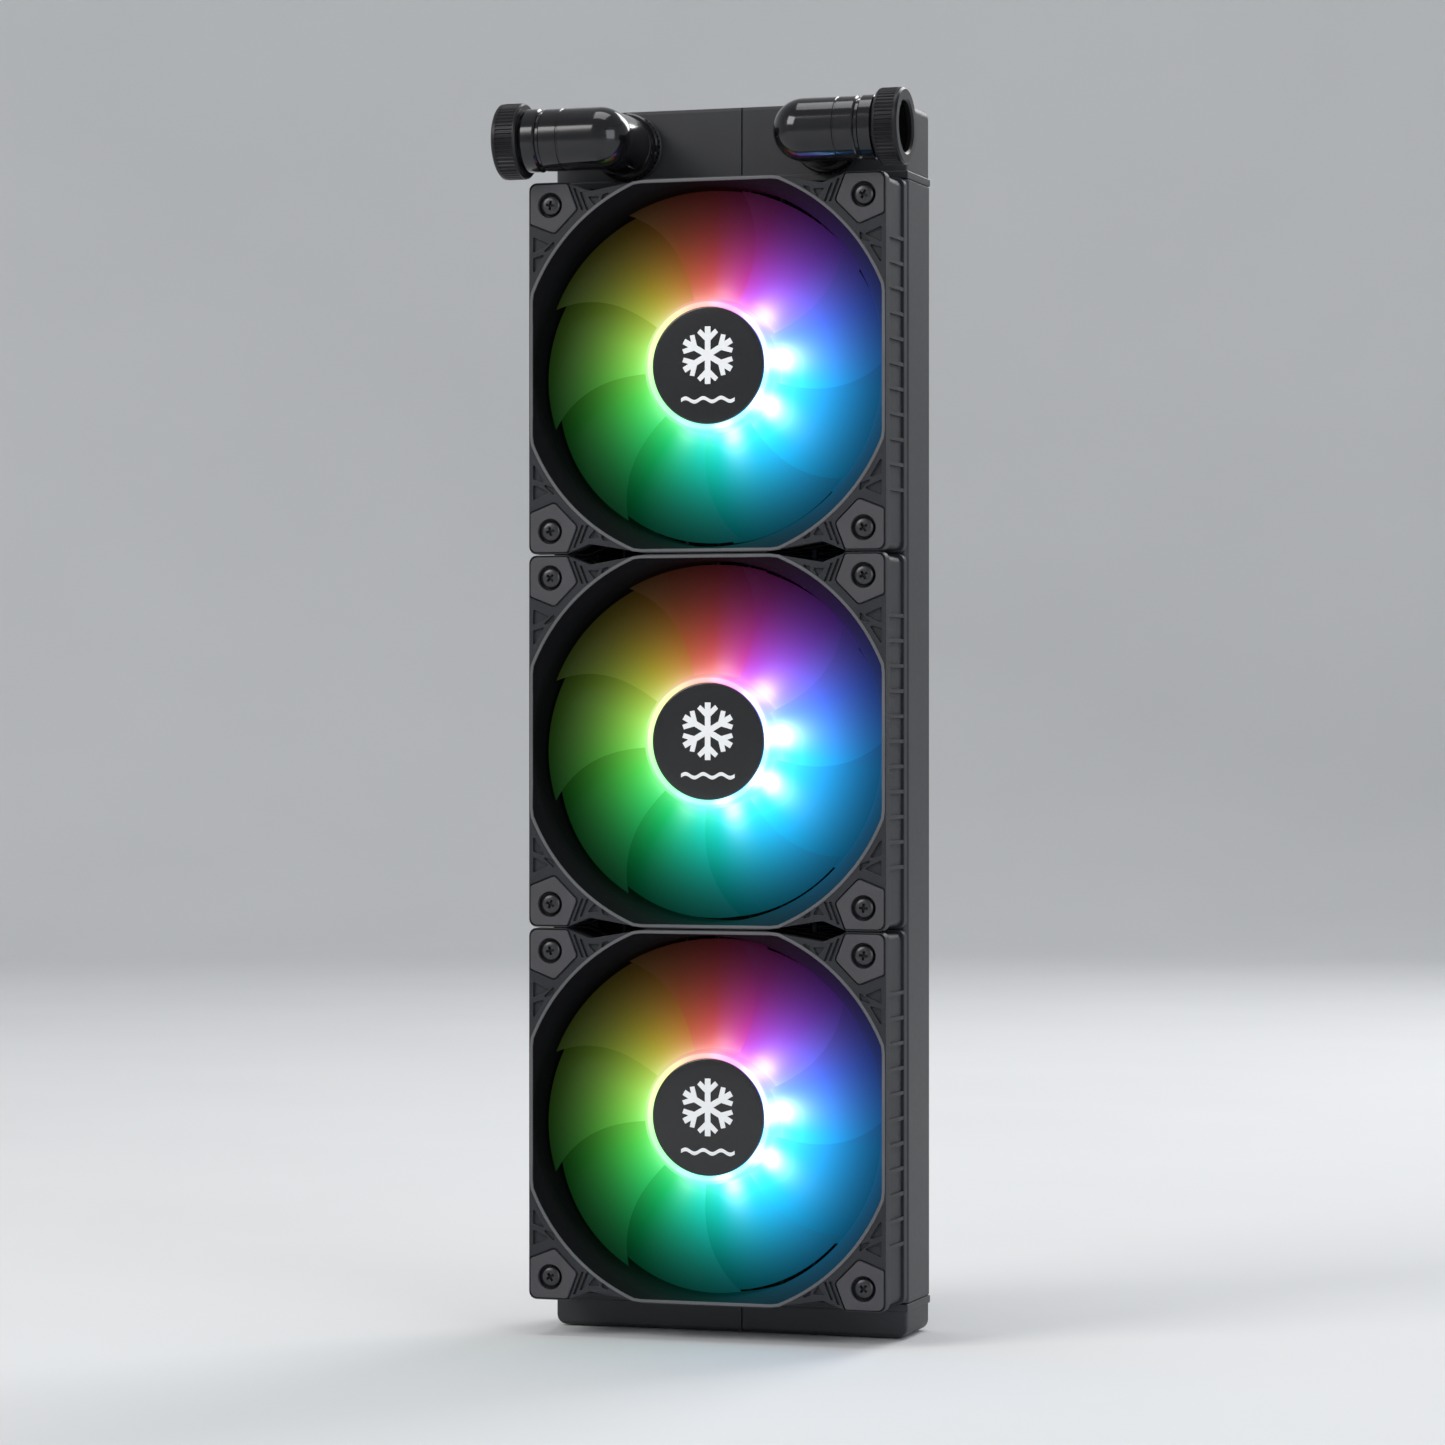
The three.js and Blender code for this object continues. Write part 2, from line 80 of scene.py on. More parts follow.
def centre_of(node):
    low, high = in_front_frame(node)
    return (low + high) / 2


channel_low, channel_high = in_front_frame("side_channel_right")
DEPTH = channel_high.z
HALF_WIDTH = channel_high.x
FLANGE_IN = channel_low.x
CHANNEL_END = channel_high.y
FAN_REAR = in_front_frame("fan_middle_frame")[0].z
FAN_DEPTH = in_front_frame("fan_middle_frame")[1].z - FAN_REAR
FAN_EDGE = in_front_frame("fan_middle_frame")[1].x
FAN_CENTRES = {row: centre_of(f"fan_{row}_frame").y for row in ROWS}
FAN_PITCH = FAN_CENTRES["top"] - FAN_CENTRES["middle"]
HOLE = (centre_of("fan_middle_screw_1") - Vector((0, FAN_CENTRES["middle"], 0))).x
PORT = centre_of("elbow_right_base")
SCREW_LOW, SCREW_HIGH = in_front_frame("fan_middle_screw_1")
CORNERS = ((1, 1), (-1, 1), (-1, -1), (1, -1))

# Sizes of details that the CAD leaves plain, in millimetres; a fan's z starts at its rear
DUCT = 57.9  # radius of the fan's round duct
MOUTH = 63.0  # radius of the mouth's rim
MOUTH_FLAT = 58.5  # distance of the rim's four flats from the axis
MOUTH_START = 19.2  # z at which the duct begins to open
WAIST = 0.85  # how far the frame is drawn in between its flanges
FACE = FAN_DEPTH - 0.5  # z of the front face, which the pads stand proud of
NOTCH = ((20, 0.0), (39, 3.15), (47, 0.0))  # (distance from the edge's middle, depth)
# A pad's outline as (x, y, radius) corners, measured inwards from the fan's corner
PAD = ((0.8, 0.8, 2.2), (13.3, 0.8, 0.8), (16.5, 9, 1.2), (9, 16.5, 1.2), (0.8, 13.3, 0.8))
SINK = 4.1  # radius of the hole round each screw's head
HUB = 21.5  # radius of the impeller's cup
BLADES = 9
LAMPS = 9
LAMP_TURN = 5  # degrees by which the first lamp is past the top, clockwise
BLADE = {  # pairs are a value at the root and one at the tip
    "reach": (20.9, 56.6),
    "span": (0.88, 0.79),
    "sweep": 0.3,
    "rear": (6.9, 8.1),
    "front": (18.0, 17.0),
    "thick": (1.5, 1.1),
    "bow": 1.0,
}
BARREL = 28  # height of an elbow's barrel over the tank
SLOTS = 3  # the most materials that one piece has
FIN_STRIPS = 11


# ---------------------------------------------------------------- camera, light and floor

def look_at(obj, target):
    direction = Vector(target) - obj.location
    obj.rotation_euler = direction.to_track_quat("-Z", "Y").to_euler()


def make_camera():
    azimuth = math.radians(18)
    distance = 1.5
    centre = Vector((0, -0.034, 0.006))
    data = bpy.data.cameras.new("camera")
    data.lens = 116
    data.sensor_width = 36
    camera = bpy.data.objects.new("camera", data)
    bpy.context.scene.collection.objects.link(camera)
    camera.location = centre + distance * Vector((math.sin(azimuth), -math.cos(azimuth), 0))
    look_at(camera, centre)
    bpy.context.scene.camera = camera


def area_light(name, location, size, power, color):
    data = bpy.data.lights.new(name, "AREA")
    data.size = size
    data.energy = power
    data.color = color
    light = bpy.data.objects.new(name, data)
    light.location = location
    look_at(light, (0, 0, 0))
    light.visible_camera = False
    bpy.context.scene.collection.objects.link(light)


def make_lights():
    area_light("key_light", (-1.3, -1.7, 1.3), 1.1, 26, (1.0, 0.98, 0.95))
    area_light("fill_light", (1.7, -1.3, 0.5), 1.2, 12, (0.93, 0.96, 1.0))
    area_light("back_light", (0.6, 1.7, 1.2), 1.0, 20, (1.0, 1.0, 1.0))
    area_light("top_light", (0.0, -0.1, 2.1), 1.2, 14, (1.0, 1.0, 1.0))
    world = bpy.data.worlds.new("studio")
    world.use_nodes = True
    background = world.node_tree.nodes["Background"]
    background.inputs["Color"].default_value = (0.80, 0.82, 0.85, 1)
    background.inputs["Strength"].default_value = 0.42
    bpy.context.scene.world = world
    bpy.context.scene.view_settings.view_transform = "Standard"


# ---------------------------------------------------------------- mesh helpers

def new_mesh(name, bm, sharp=32):
    """A mesh in metres from a bmesh in millimetres; edges over sharp degrees stay crisp."""
    bmesh.ops.remove_doubles(bm, verts=bm.verts, dist=1e-4)
    bmesh.ops.recalc_face_normals(bm, faces=bm.faces)
    mesh = bpy.data.meshes.new(name)
    bm.to_mesh(mesh)
    bm.free()
    mesh.transform(Matrix.Scale(MM, 4))
    for polygon in mesh.polygons:
        polygon.use_smooth = True
    mesh.set_sharp_from_angle(angle=math.radians(sharp))
    return mesh


def place(name, mesh, at=(0, 0, 0), turn=0.0, body="radiator", replaces=(), materials=()):
    """A piece at a point of the front frame, in millimetres, turned about the z axis there."""
    obj = bpy.data.objects.new(name, mesh)
    bpy.context.scene.collection.objects.link(obj)
    spot = Matrix.Translation(Vector(at) * MM)
    obj.matrix_world = FRONT @ spot @ Matrix.Rotation(turn, 4, "Z")
    for material in materials:
        if material.name not in mesh.materials:
            mesh.materials.append(material)
    weighted = obj.modifiers.new("weighted", "WEIGHTED_NORMAL")
    weighted.keep_sharp = True
    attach(obj, body)
    if replaces:
        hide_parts(*replaces)
    return obj


def circle(radius, count, z=0.0):
    steps = [2 * math.pi * i / count for i in range(count)]
    return [Vector((radius * math.cos(a), radius * math.sin(a), z)) for a in steps]


def add_rings(bm, rings, closed_along=False, cap_ends=False):
    """Skins rings of equally many points into quads, and returns the quads row by row."""
    loops = [[bm.verts.new(p) for p in ring] for ring in rings]
    count = len(loops[0])
    pairs = list(zip(loops, loops[1:]))
    if closed_along:
        pairs.append((loops[-1], loops[0]))
    rows = []
    for lower, upper in pairs:
        row = []
        for i in range(count):
            j = (i + 1) % count
            row.append(bm.faces.new((lower[i], lower[j], upper[j], upper[i])))
        rows.append(row)
    if cap_ends:
        bm.faces.new(list(reversed(loops[0])))
        bm.faces.new(loops[-1])
    return rows


def add_lathe(bm, profile, count=64):
    """Turns a [radius, z] profile round the z axis: closed, or starting and ending on the axis."""
    closed = profile[0] == profile[-1]
    points = profile[:-1] if closed else profile
    rings = [circle(max(r, 0.0), count, z) if r > 0 else [Vector((0, 0, z))] * count for r, z in points]
    add_rings(bm, rings, closed_along=closed)
    bmesh.ops.remove_doubles(bm, verts=bm.verts, dist=1e-5)


def lathe(name, profile, count=64, sharp=32):
    bm = bmesh.new()
    add_lathe(bm, profile, count)
    return new_mesh(name, bm, sharp)


def rounded(points, steps=4):
    """A closed outline from (x, y, radius) corners, each rounded by an arc of that radius."""
    outline = []
    count = len(points)
    for i, (x, y, radius) in enumerate(points):
        corner = Vector((x, y))
        before = Vector(points[i - 1][:2]) - corner
        after = Vector(points[(i + 1) % count][:2]) - corner
        if radius <= 0:
            outline.append(corner)
            continue
        before.normalize()
        after.normalize()
        half = before.angle(after) / 2
        reach = radius / math.tan(half)
        centre = corner + (before + after).normalized() * (radius / math.sin(half))
        start = corner + before * reach - centre
        swing = start.angle_signed(corner + after * reach - centre)
        for k in range(steps + 1):
            a = -swing * k / steps
            turned = Vector((
                start.x * math.cos(a) - start.y * math.sin(a),
                start.x * math.sin(a) + start.y * math.cos(a),
            ))
            outline.append(centre + turned)
    return outline


def round_outline(radius, count=48, at=(0, 0)):
    return [Vector((at[0] + p.x, at[1] + p.y)) for p in circle(radius, count)]


def plate(outlines, low, high, bevel=0.3):
    """A bmesh of a flat plate with holes and bevelled edges, made as a filled curve."""
    curve = bpy.data.curves.new("plate", "CURVE")
    curve.dimensions = "2D"
    curve.fill_mode = "BOTH"
    curve.extrude = (high - low) / 2 - bevel
    curve.bevel_depth = bevel
    curve.bevel_resolution = 1
    curve.offset = -bevel
    for outline in outlines:
        spline = curve.splines.new("POLY")
        spline.points.add(len(outline) - 1)
        for point, spot in zip(spline.points, outline):
            point.co = (spot.x, spot.y, 0, 1)
        spline.use_cyclic_u = True
    holder = bpy.data.objects.new("plate", curve)
    bpy.context.scene.collection.objects.link(holder)
    graph = bpy.context.evaluated_depsgraph_get()
    mesh = bpy.data.meshes.new_from_object(holder.evaluated_get(graph))
    bpy.data.objects.remove(holder)
    bpy.data.curves.remove(curve)
    bm = bmesh.new()
    bm.from_mesh(mesh)
    bpy.data.meshes.remove(mesh)
    bmesh.ops.translate(bm, verts=bm.verts, vec=(0, 0, (low + high) / 2))
    bmesh.ops.remove_doubles(bm, verts=bm.verts, dist=1e-4)
    return bm


def merge(bm, other, matrix=None):
    """Adds another bmesh to this one, moved by matrix, and frees it."""
    if matrix is not None:
        bmesh.ops.transform(other, matrix=matrix, verts=other.verts)
    spare = bpy.data.meshes.new("spare")
    other.to_mesh(spare)
    other.free()
    bm.from_mesh(spare)
    bpy.data.meshes.remove(spare)
    return bm


def add_block(bm, low, high, matrix=None):
    made = bmesh.ops.create_cube(bm, size=1)
    size = Vector(high) - Vector(low)
    middle = (Vector(high) + Vector(low)) / 2
    shape = Matrix.Translation(middle) @ Matrix.Diagonal((*size, 1))
    if matrix is not None:
        shape = matrix @ shape
    bmesh.ops.transform(bm, matrix=shape, verts=made["verts"])
    return made["verts"]


def boolean(base, tools, operation):
    """Joins or cuts closed bmeshes in millimetres with the exact solver, and returns one skin."""
    objects = []
    for bm in (base, *tools):
        mesh = bpy.data.meshes.new("boolean")
        bmesh.ops.remove_doubles(bm, verts=bm.verts, dist=1e-4)
        bmesh.ops.recalc_face_normals(bm, faces=bm.faces)
        bm.to_mesh(mesh)
        bm.free()
        for _ in range(SLOTS):
            mesh.materials.append(None)
        obj = bpy.data.objects.new("boolean", mesh)
        bpy.context.scene.collection.objects.link(obj)
        objects.append(obj)
    for tool in objects[1:]:
        modifier = objects[0].modifiers.new("boolean", "BOOLEAN")
        modifier.object = tool
        modifier.operation = operation
        modifier.solver = "EXACT"
    graph = bpy.context.evaluated_depsgraph_get()
    result = bmesh.new()
    result.from_mesh(objects[0].evaluated_get(graph).to_mesh())
    for obj in objects:
        mesh = obj.data
        bpy.data.objects.remove(obj)
        bpy.data.meshes.remove(mesh)
    bmesh.ops.remove_doubles(result, verts=result.verts, dist=1e-4)
    bmesh.ops.dissolve_degenerate(result, dist=1e-4, edges=result.edges)
    return result


def bevel_edges(bm, width, angle=35, segments=2):
    limit = math.radians(angle)
    edges = [e for e in bm.edges if len(e.link_faces) == 2 and e.calc_face_angle() > limit]
    bmesh.ops.bevel(
        bm, geom=edges, offset=width, segments=segments, profile=0.5,
        affect="EDGES", clamp_overlap=True,
    )


# ---------------------------------------------------------------- material helpers

class Nodes:
    """Builds a material's node tree with short calls."""

    def __init__(self, name):
        self.material = bpy.data.materials.new(name)
        self.material.use_nodes = True
        self.tree = self.material.node_tree
        self.shader = self.tree.nodes["Principled BSDF"]

    def add(self, kind, **settings):
        node = self.tree.nodes.new(kind)
        for key, value in settings.items():
            setattr(node, key, value)
        return node

    def link(self, value, socket):
        if isinstance(value, (int, float)):
            socket.default_value = value
        else:
            self.tree.links.new(value, socket)

    def math(self, operation, *values):
        node = self.add("ShaderNodeMath", operation=operation)
        for value, socket in zip(values, node.inputs):
            self.link(value, socket)
        return node.outputs[0]

    def noise(self, coordinates, scale, detail=2.0):
        node = self.add("ShaderNodeTexNoise")
        node.inputs["Scale"].default_value = scale
        node.inputs["Detail"].default_value = detail
        self.tree.links.new(coordinates, node.inputs["Vector"])
        return node.outputs["Fac"]

    def spread(self, value, low, high, start=0.0, end=1.0):
        node = self.add("ShaderNodeMapRange")
        self.link(value, node.inputs["Value"])
        node.inputs["From Min"].default_value = start
        node.inputs["From Max"].default_value = end
        node.inputs["To Min"].default_value = low
        node.inputs["To Max"].default_value = high
        return node.outputs["Result"]

    def ramp(self, value, stops):
        node = self.add("ShaderNodeValToRGB")
        elements = node.color_ramp.elements
        while len(elements) < len(stops):
            elements.new(0.5)
        for element, (position, color) in zip(elements, stops):
            element.position = position
            element.color = (*color, 1)
        self.link(value, node.inputs["Fac"])
        return node.outputs["Color"]

    def mix(self, factor, first, second, blend="MIX"):
        node = self.add("ShaderNodeMix", data_type="RGBA", blend_type=blend)
        self.link(factor, node.inputs[0])
        for value, socket in ((first, node.inputs[6]), (second, node.inputs[7])):
            if isinstance(value, tuple):
                socket.default_value = (*value, 1)
            else:
                self.tree.links.new(value, socket)
        return node.outputs[2]

    def gray(self, value):
        node = self.add("ShaderNodeCombineXYZ")
        for socket in node.inputs:
            self.link(value, socket)
        return node.outputs[0]

    def falloff(self, radius, start, rate):
        """1 up to the radius start, and from there on an exponential decay per millimetre."""
        past = self.math("MAXIMUM", self.math("SUBTRACT", radius, start), 0.0)
        return self.math("EXPONENT", self.math("MULTIPLY", past, -rate))

    def bump(self, height, distance):
        node = self.add("ShaderNodeBump")
        node.inputs["Distance"].default_value = distance
        self.tree.links.new(height, node.inputs["Height"])
        self.tree.links.new(node.outputs["Normal"], self.shader.inputs["Normal"])

    def object_place(self):
        return self.add("ShaderNodeTexCoord").outputs["Object"]


def surface(
    name, color, roughness, metallic=0.0, grain=900.0, depth=2e-5, mottle=0.18, coat=0.0, gloss=0.5,
):
    """A moulded, painted or plated surface: fine grain, soft mottling and uneven gloss."""
    n = Nodes(name)
    place_on = n.object_place()
    broad = n.noise(place_on, 38.0, 3.0)
    fine = n.noise(place_on, grain, 2.0)
    dark = tuple(c * (1 - mottle) for c in color)
    light = tuple(min(1.0, c * (1 + mottle)) for c in color)
    n.tree.links.new(n.mix(n.spread(broad, -0.4, 1.4), dark, light), n.shader.inputs["Base Color"])
    low, high = max(0.03, roughness - 0.07), min(1.0, roughness + 0.07)
    uneven = n.math("ADD", n.math("MULTIPLY", broad, 0.6), n.math("MULTIPLY", fine, 0.4))
    n.link(n.spread(uneven, low, high), n.shader.inputs["Roughness"])
    n.shader.inputs["Metallic"].default_value = metallic
    n.shader.inputs["Specular IOR Level"].default_value = gloss
    n.shader.inputs["Coat Weight"].default_value = coat
    n.shader.inputs["Coat Roughness"].default_value = 0.12
    n.bump(fine, depth)
    return n.material


# Colours of the lamps' light round a fan's hub, painted as emission: degrees clockwise from the top, linear
# RGB half way out to the tips
WHEEL = (
    (0, (0.25, 0.030, 0.035)),
    (22, (0.26, 0.022, 0.20)),
    (45, (0.21, 0.060, 0.58)),
    (70, (0.09, 0.19, 0.98)),
    (100, (0.025, 0.42, 1.00)),
    (140, (0.016, 0.41, 0.80)),
    (180, (0.004, 0.33, 0.28)),
    (215, (0.004, 0.27, 0.07)),
    (250, (0.03, 0.28, 0.03)),
    (285, (0.12, 0.27, 0.03)),
    (320, (0.18, 0.14, 0.012)),
    (345, (0.21, 0.05, 0.016)),
    (360, (0.25, 0.030, 0.035)),
)


# The lamps' light round a hub, painted as emission, by the distance from its axis in millimetres
BRIGHTEST = 105  # degrees clockwise from the top
GLOW_START = 20.0
GLOW_GAIN = 1.55  # natural logarithm of the glow at its start
GLOW_SLOPE = (0.061, 0.008)  # how fast it fades on the dark side, and how much less on the bright side
GLOW_CURVE = (0.00125, 0.0004)
HALO_FALL = (20.4, 0.45)  # start and rate
SPOT_FALL = (24.5, 0.32)
# The halo and the spots are painted lamp light on the plastic round the hub
SPOT_GAIN = 1.9
SPOT_FOCUS = 2.0  # powers that narrow each spot, and the stretch of the hub that has spots
SPOT_STRETCH = 3.2


def round_hub(n):
    """A point's distance from the nearest hub's axis, and its angle clockwise from the top."""
    position = n.add("ShaderNodeNewGeometry").outputs["Position"]
    split = n.add("ShaderNodeSeparateXYZ")
    n.tree.links.new(position, split.inputs[0])
    x = n.math("MULTIPLY", split.outputs["X"], 1 / MM)
    z = n.math("MULTIPLY", split.outputs["Z"], 1 / MM)
    z = n.math("WRAP", z, FAN_PITCH / 2, -FAN_PITCH / 2)
    radius = n.math("SQRT", n.math("ADD", n.math("MULTIPLY", x, x), n.math("MULTIPLY", z, z)))
    return radius, n.math("ARCTAN2", x, z)


def hub_glow(n, radius, bright):
    """The strength of the painted coloured glow, which reaches further on the bright side."""
    out = n.math("MAXIMUM", n.math("SUBTRACT", radius, GLOW_START), 0.0)
    slope = n.math("SUBTRACT", GLOW_SLOPE[0], n.math("MULTIPLY", bright, GLOW_SLOPE[1]))
    curve = n.math("SUBTRACT", GLOW_CURVE[0], n.math("MULTIPLY", bright, GLOW_CURVE[1]))
    bent = n.math("MULTIPLY", curve, n.math("MULTIPLY", out, out))
    dim = n.math("ADD", n.math("MULTIPLY", slope, out), bent)
    return n.math("EXPONENT", n.math("SUBTRACT", GLOW_GAIN, dim))


def lamp_spots(n, radius, angle, bright):
    """Painted white light over the lamps of the bright side."""
    phase = n.math("MULTIPLY", n.math("SUBTRACT", angle, math.radians(LAMP_TURN)), LAMPS)
    wave = n.math("MULTIPLY", n.math("ADD", n.math("COSINE", phase), 1.0), 0.5)
    spot = n.math("MULTIPLY", n.math("POWER", wave, SPOT_FOCUS), n.math("POWER", bright, SPOT_STRETCH))
    return n.math("MULTIPLY", n.math("MULTIPLY", spot, SPOT_GAIN), n.falloff(radius, *SPOT_FALL))


def hub_light(n, strength, haze, shade, lean):
    """Emission of the lamps round each fan's hub, by where a point lies round that hub; on every part but
    the lamps it is painted lamp light.

    haze is painted white light close to the hub, and on the hub's own wall only the share in shade is kept,
    as painted shade.
    lean over 0 darkens the side away from the brightest lamps, as painted shade.
    """
    radius, angle = round_hub(n)
    turn = n.math("FRACT", n.math("ADD", n.math("DIVIDE", angle, 2 * math.pi), 1.0))
    color = n.ramp(turn, [(degrees / 360, rgb) for degrees, rgb in WHEEL])
    # 1 at the brightest angle, 0 opposite it
    side = n.math("COSINE", n.math("SUBTRACT", angle, math.radians(BRIGHTEST)))
    bright = n.math("MULTIPLY", n.math("ADD", side, 1.0), 0.5)
    fall = n.math("MULTIPLY", hub_glow(n, radius, bright), strength)
    glow = n.mix(1.0, color, n.gray(fall), "MULTIPLY")
    halo = n.math("MULTIPLY", n.falloff(radius, *HALO_FALL), haze)
    white = n.math("ADD", halo, lamp_spots(n, radius, angle, bright))
    light = n.mix(1.0, glow, n.gray(n.math("MULTIPLY", white, strength)), "ADD")
    # Painted shade: the hub's wall keeps only the share in shade, and lean darkens the side away from the
    # brightest lamps
    wall = n.spread(radius, shade, 1.0, HUB, HUB + 0.3)
    share = n.math("MULTIPLY", wall, n.math("POWER", bright, lean))
    return n.mix(1.0, light, n.gray(share), "MULTIPLY")


def lit_plastic(name, strength, base, haze=0.5, shade=1.0, lean=0.0, roughness=0.45, gloss=0.03):
    """Frosted plastic whose emission is the light round the hub: the lamps' own glow, and painted lamp
    light on the blades, the light ring and the duct wall.
    """
    n = Nodes(name)
    n.shader.inputs["Base Color"].default_value = (*base, 1)
    n.shader.inputs["Roughness"].default_value = roughness
    n.shader.inputs["Specular IOR Level"].default_value = gloss
    n.tree.links.new(hub_light(n, strength, haze, shade, lean), n.shader.inputs["Emission Color"])
    n.shader.inputs["Emission Strength"].default_value = 1.0
    fine = n.noise(n.object_place(), 1400.0, 2.0)
    n.bump(fine, 1.5e-5)
    return n.material


def make_materials():
    return {
        "paint": surface(
            "radiator_paint", (0.030, 0.031, 0.035), 0.46, 0.1, grain=520, depth=3e-5, gloss=0.4,
        ),
        "frame": surface("frame_plastic", (0.021, 0.022, 0.026), 0.55, grain=1500, depth=3e-5, gloss=0.3),
        # The lip's lighter colour is a painted highlight along the mouth's rim.
        "lip": surface("mouth_lip_painted_highlight", (0.105, 0.105, 0.112), 0.38, grain=1500, depth=2e-5),
        "pad": surface("pad_rubber", (0.066, 0.065, 0.071), 0.72, grain=1100, depth=4e-5, gloss=0.3),
        "screw": surface("black_steel", (0.060, 0.060, 0.064), 0.34, 0.85, grain=700),
        # The recess's darker colour is painted shade in the screw's cross recess.
        "recess": surface("screw_recess_painted_shade", (0.012, 0.012, 0.013), 0.6, 0.3),
        "cap": surface("cap_plastic", (0.007, 0.007, 0.008), 0.24, grain=600, depth=4e-6, coat=0.3),
        "emblem": surface("emblem_print", (0.86, 0.87, 0.88), 0.4, grain=1200, depth=4e-6, mottle=0.04),
        "fitting": surface(
            "black_fitting", (0.012, 0.012, 0.014), 0.14, 0.6, grain=300, depth=3e-6, coat=0.5,
        ),
        "knurl": surface("knurl", (0.020, 0.020, 0.022), 0.36, 0.7, grain=900),
        "seal": surface("seal_rubber", (0.012, 0.012, 0.012), 0.8),
        "fin": surface("fin_paint", (0.010, 0.010, 0.011), 0.6, 0.2, grain=800),
        "tube": surface("tube_paint", (0.026, 0.026, 0.027), 0.45, 0.4, grain=600),
        "steel": surface("motor_steel", (0.50, 0.50, 0.52), 0.34, 1.0, grain=900),
        "bronze": surface("bearing_bronze", (0.50, 0.33, 0.13), 0.45, 1.0, grain=1500),
        "winding": surface("winding_copper", (0.48, 0.19, 0.06), 0.35, 0.9, grain=1800, depth=6e-5),
        "board": surface("board_mask", (0.62, 0.63, 0.62), 0.5, grain=700),
        # The blades' glow is painted lamp light: emission standing in for the lamps' light through the
        # frosted plastic, with painted shade on the hub's wall.
        "blade": lit_plastic("frosted_blade", 0.84, (0.002, 0.002, 0.003), shade=0.8),
        # The ring on the rotor glows with painted lamp light, tinted like the light round it.
        "ring": lit_plastic("light_ring", 1.0, (0.1, 0.1, 0.1), haze=0.4),
        "lamp": lit_plastic("lamp", 3.0, (0.5, 0.5, 0.5)),
        # The duct wall's glow is painted lamp light, darker on the side away from the brightest lamps.
        "duct": lit_plastic("duct_wall_painted_glow", 1.1, (0.003, 0.003, 0.004), lean=2.0, roughness=0.7, gloss=0.06),
    }


# ---------------------------------------------------------------- fan frame

def fan_outline(inset=0.0):
    """The square of the fan with a shallow notch on each half of its upper and lower edge."""
    edge = FAN_EDGE - inset
    (x1, d1), (x2, d2), (x3, d3) = NOTCH
    right = [(x1, edge - d1, 3), (x2, edge - d2, 2.5), (x3, edge - d3, 2)]
    left = [(-x, y, r) for x, y, r in reversed(right)]
    top = [(-edge, edge, 2.5), *left, *right, (edge, edge, 2.5)]
    bottom = [(-x, -y, r) for x, y, r in top]
    return rounded(top + bottom)


def mouth_radius(angle):
    flat = MOUTH_FLAT / max(abs(math.cos(angle)), abs(math.sin(angle)))
    return min(MOUTH, flat)


def mouth_loop(grow, z, count=160, share=1.0):
    """A ring of the bell mouth: share 1 is its rim and share 0 the round duct."""
    points = []
    for i in range(count):
        a = 2 * math.pi * i / count
        radius = DUCT + (mouth_radius(a) - DUCT) * share + grow
        points.append(Vector((radius * math.cos(a), radius * math.sin(a), z)))
    return points


def add_duct(bm):
    """The duct wall with its bell mouth, a raised lip at the front and a small flare behind."""
    duct = ((0.5, 0.0), (0.0, 1.2), (0.0, MOUTH_START))
    inner = [mouth_loop(grow, z, share=0) for grow, z in duct]
    bends = 8
    for k in range(1, bends + 1):
        u = k / bends
        share = 1 - math.sqrt(max(0.0, 1 - u * u))
        inner.append(mouth_loop(0.0, MOUTH_START + (FACE - MOUTH_START) * u, share=share))
    lip = [mouth_loop(0.15, FACE + 0.3), mouth_loop(0.85, FACE + 0.3), mouth_loop(1.05, FACE + 0.1)]
    outer = [mouth_loop(1.1, FACE - 1.0), mouth_loop(0.9, 19.0, share=0), mouth_loop(0.9, 0.2, share=0)]
    rows = add_rings(bm, inner + lip + outer, closed_along=True)
    lip_start = len(inner) - 1
    lip_end = lip_start + len(lip) + 1
    for slot, slot_rows in ((1, rows[:lip_start]), (2, rows[lip_start:lip_end])):
        for row in slot_rows:
            for face in row:
                face.material_index = slot


def corner_point(corner, dx, dy):
    """A point of the fan's face, measured inwards from a corner."""
    return corner[0] * (FAN_PITCH / 2 - dx), corner[1] * (FAN_PITCH / 2 - dy)


def corner_outline(corner, points):
    placed = [(*corner_point(corner, dx, dy), r) for dx, dy, r in points]
    return rounded(placed, steps=3)


def grown(points, amount):
    """The outline moved outwards by an amount, for which its corners move a little further."""
    centre = Vector((sum(p[0] for p in points), sum(p[1] for p in points))) / len(points)
    corner_share = 1.15
    moved = []
    for x, y, radius in points:
        away = (Vector((x, y)) - centre).normalized() * amount * corner_share
        moved.append((x + away.x, y + away.y, radius + amount))
    return moved


# Pockets of the front face beside each pad, measured inwards from the corner along one side
CHEVRONS = (
    ((15.3, 2.2, 0.1), (16.1, 2.2, 0.1), (18.9, 9.4, 0.1), (18.1, 9.4, 0.1)),
    ((17.5, 3.6, 0.1), (18.3, 3.6, 0.1), (20.6, 9.3, 0.1), (19.8, 9.3, 0.1)),
)
TOP_POCKETS = (
    ((20.2, 5.1, 0.3), (24.2, 5.2, 0.3), (22.6, 7.9, 0.3)),
    ((25.3, 4.6, 0.3), (28.6, 3.6, 0.3), (24.6, 6.6, 0.3)),
)
SIDE_POCKETS = (
    ((1.6, 17.6, 0.3), (7.2, 20.0, 0.3), (1.6, 22.6, 0.3)),
    ((8.9, 18.9, 0.3), (8.7, 21.5, 0.3), (4.5, 22.9, 0.3)),
    ((1.6, 24.4, 0.3), (5.6, 23.2, 0.3), (1.6, 29.6, 0.3)),
)


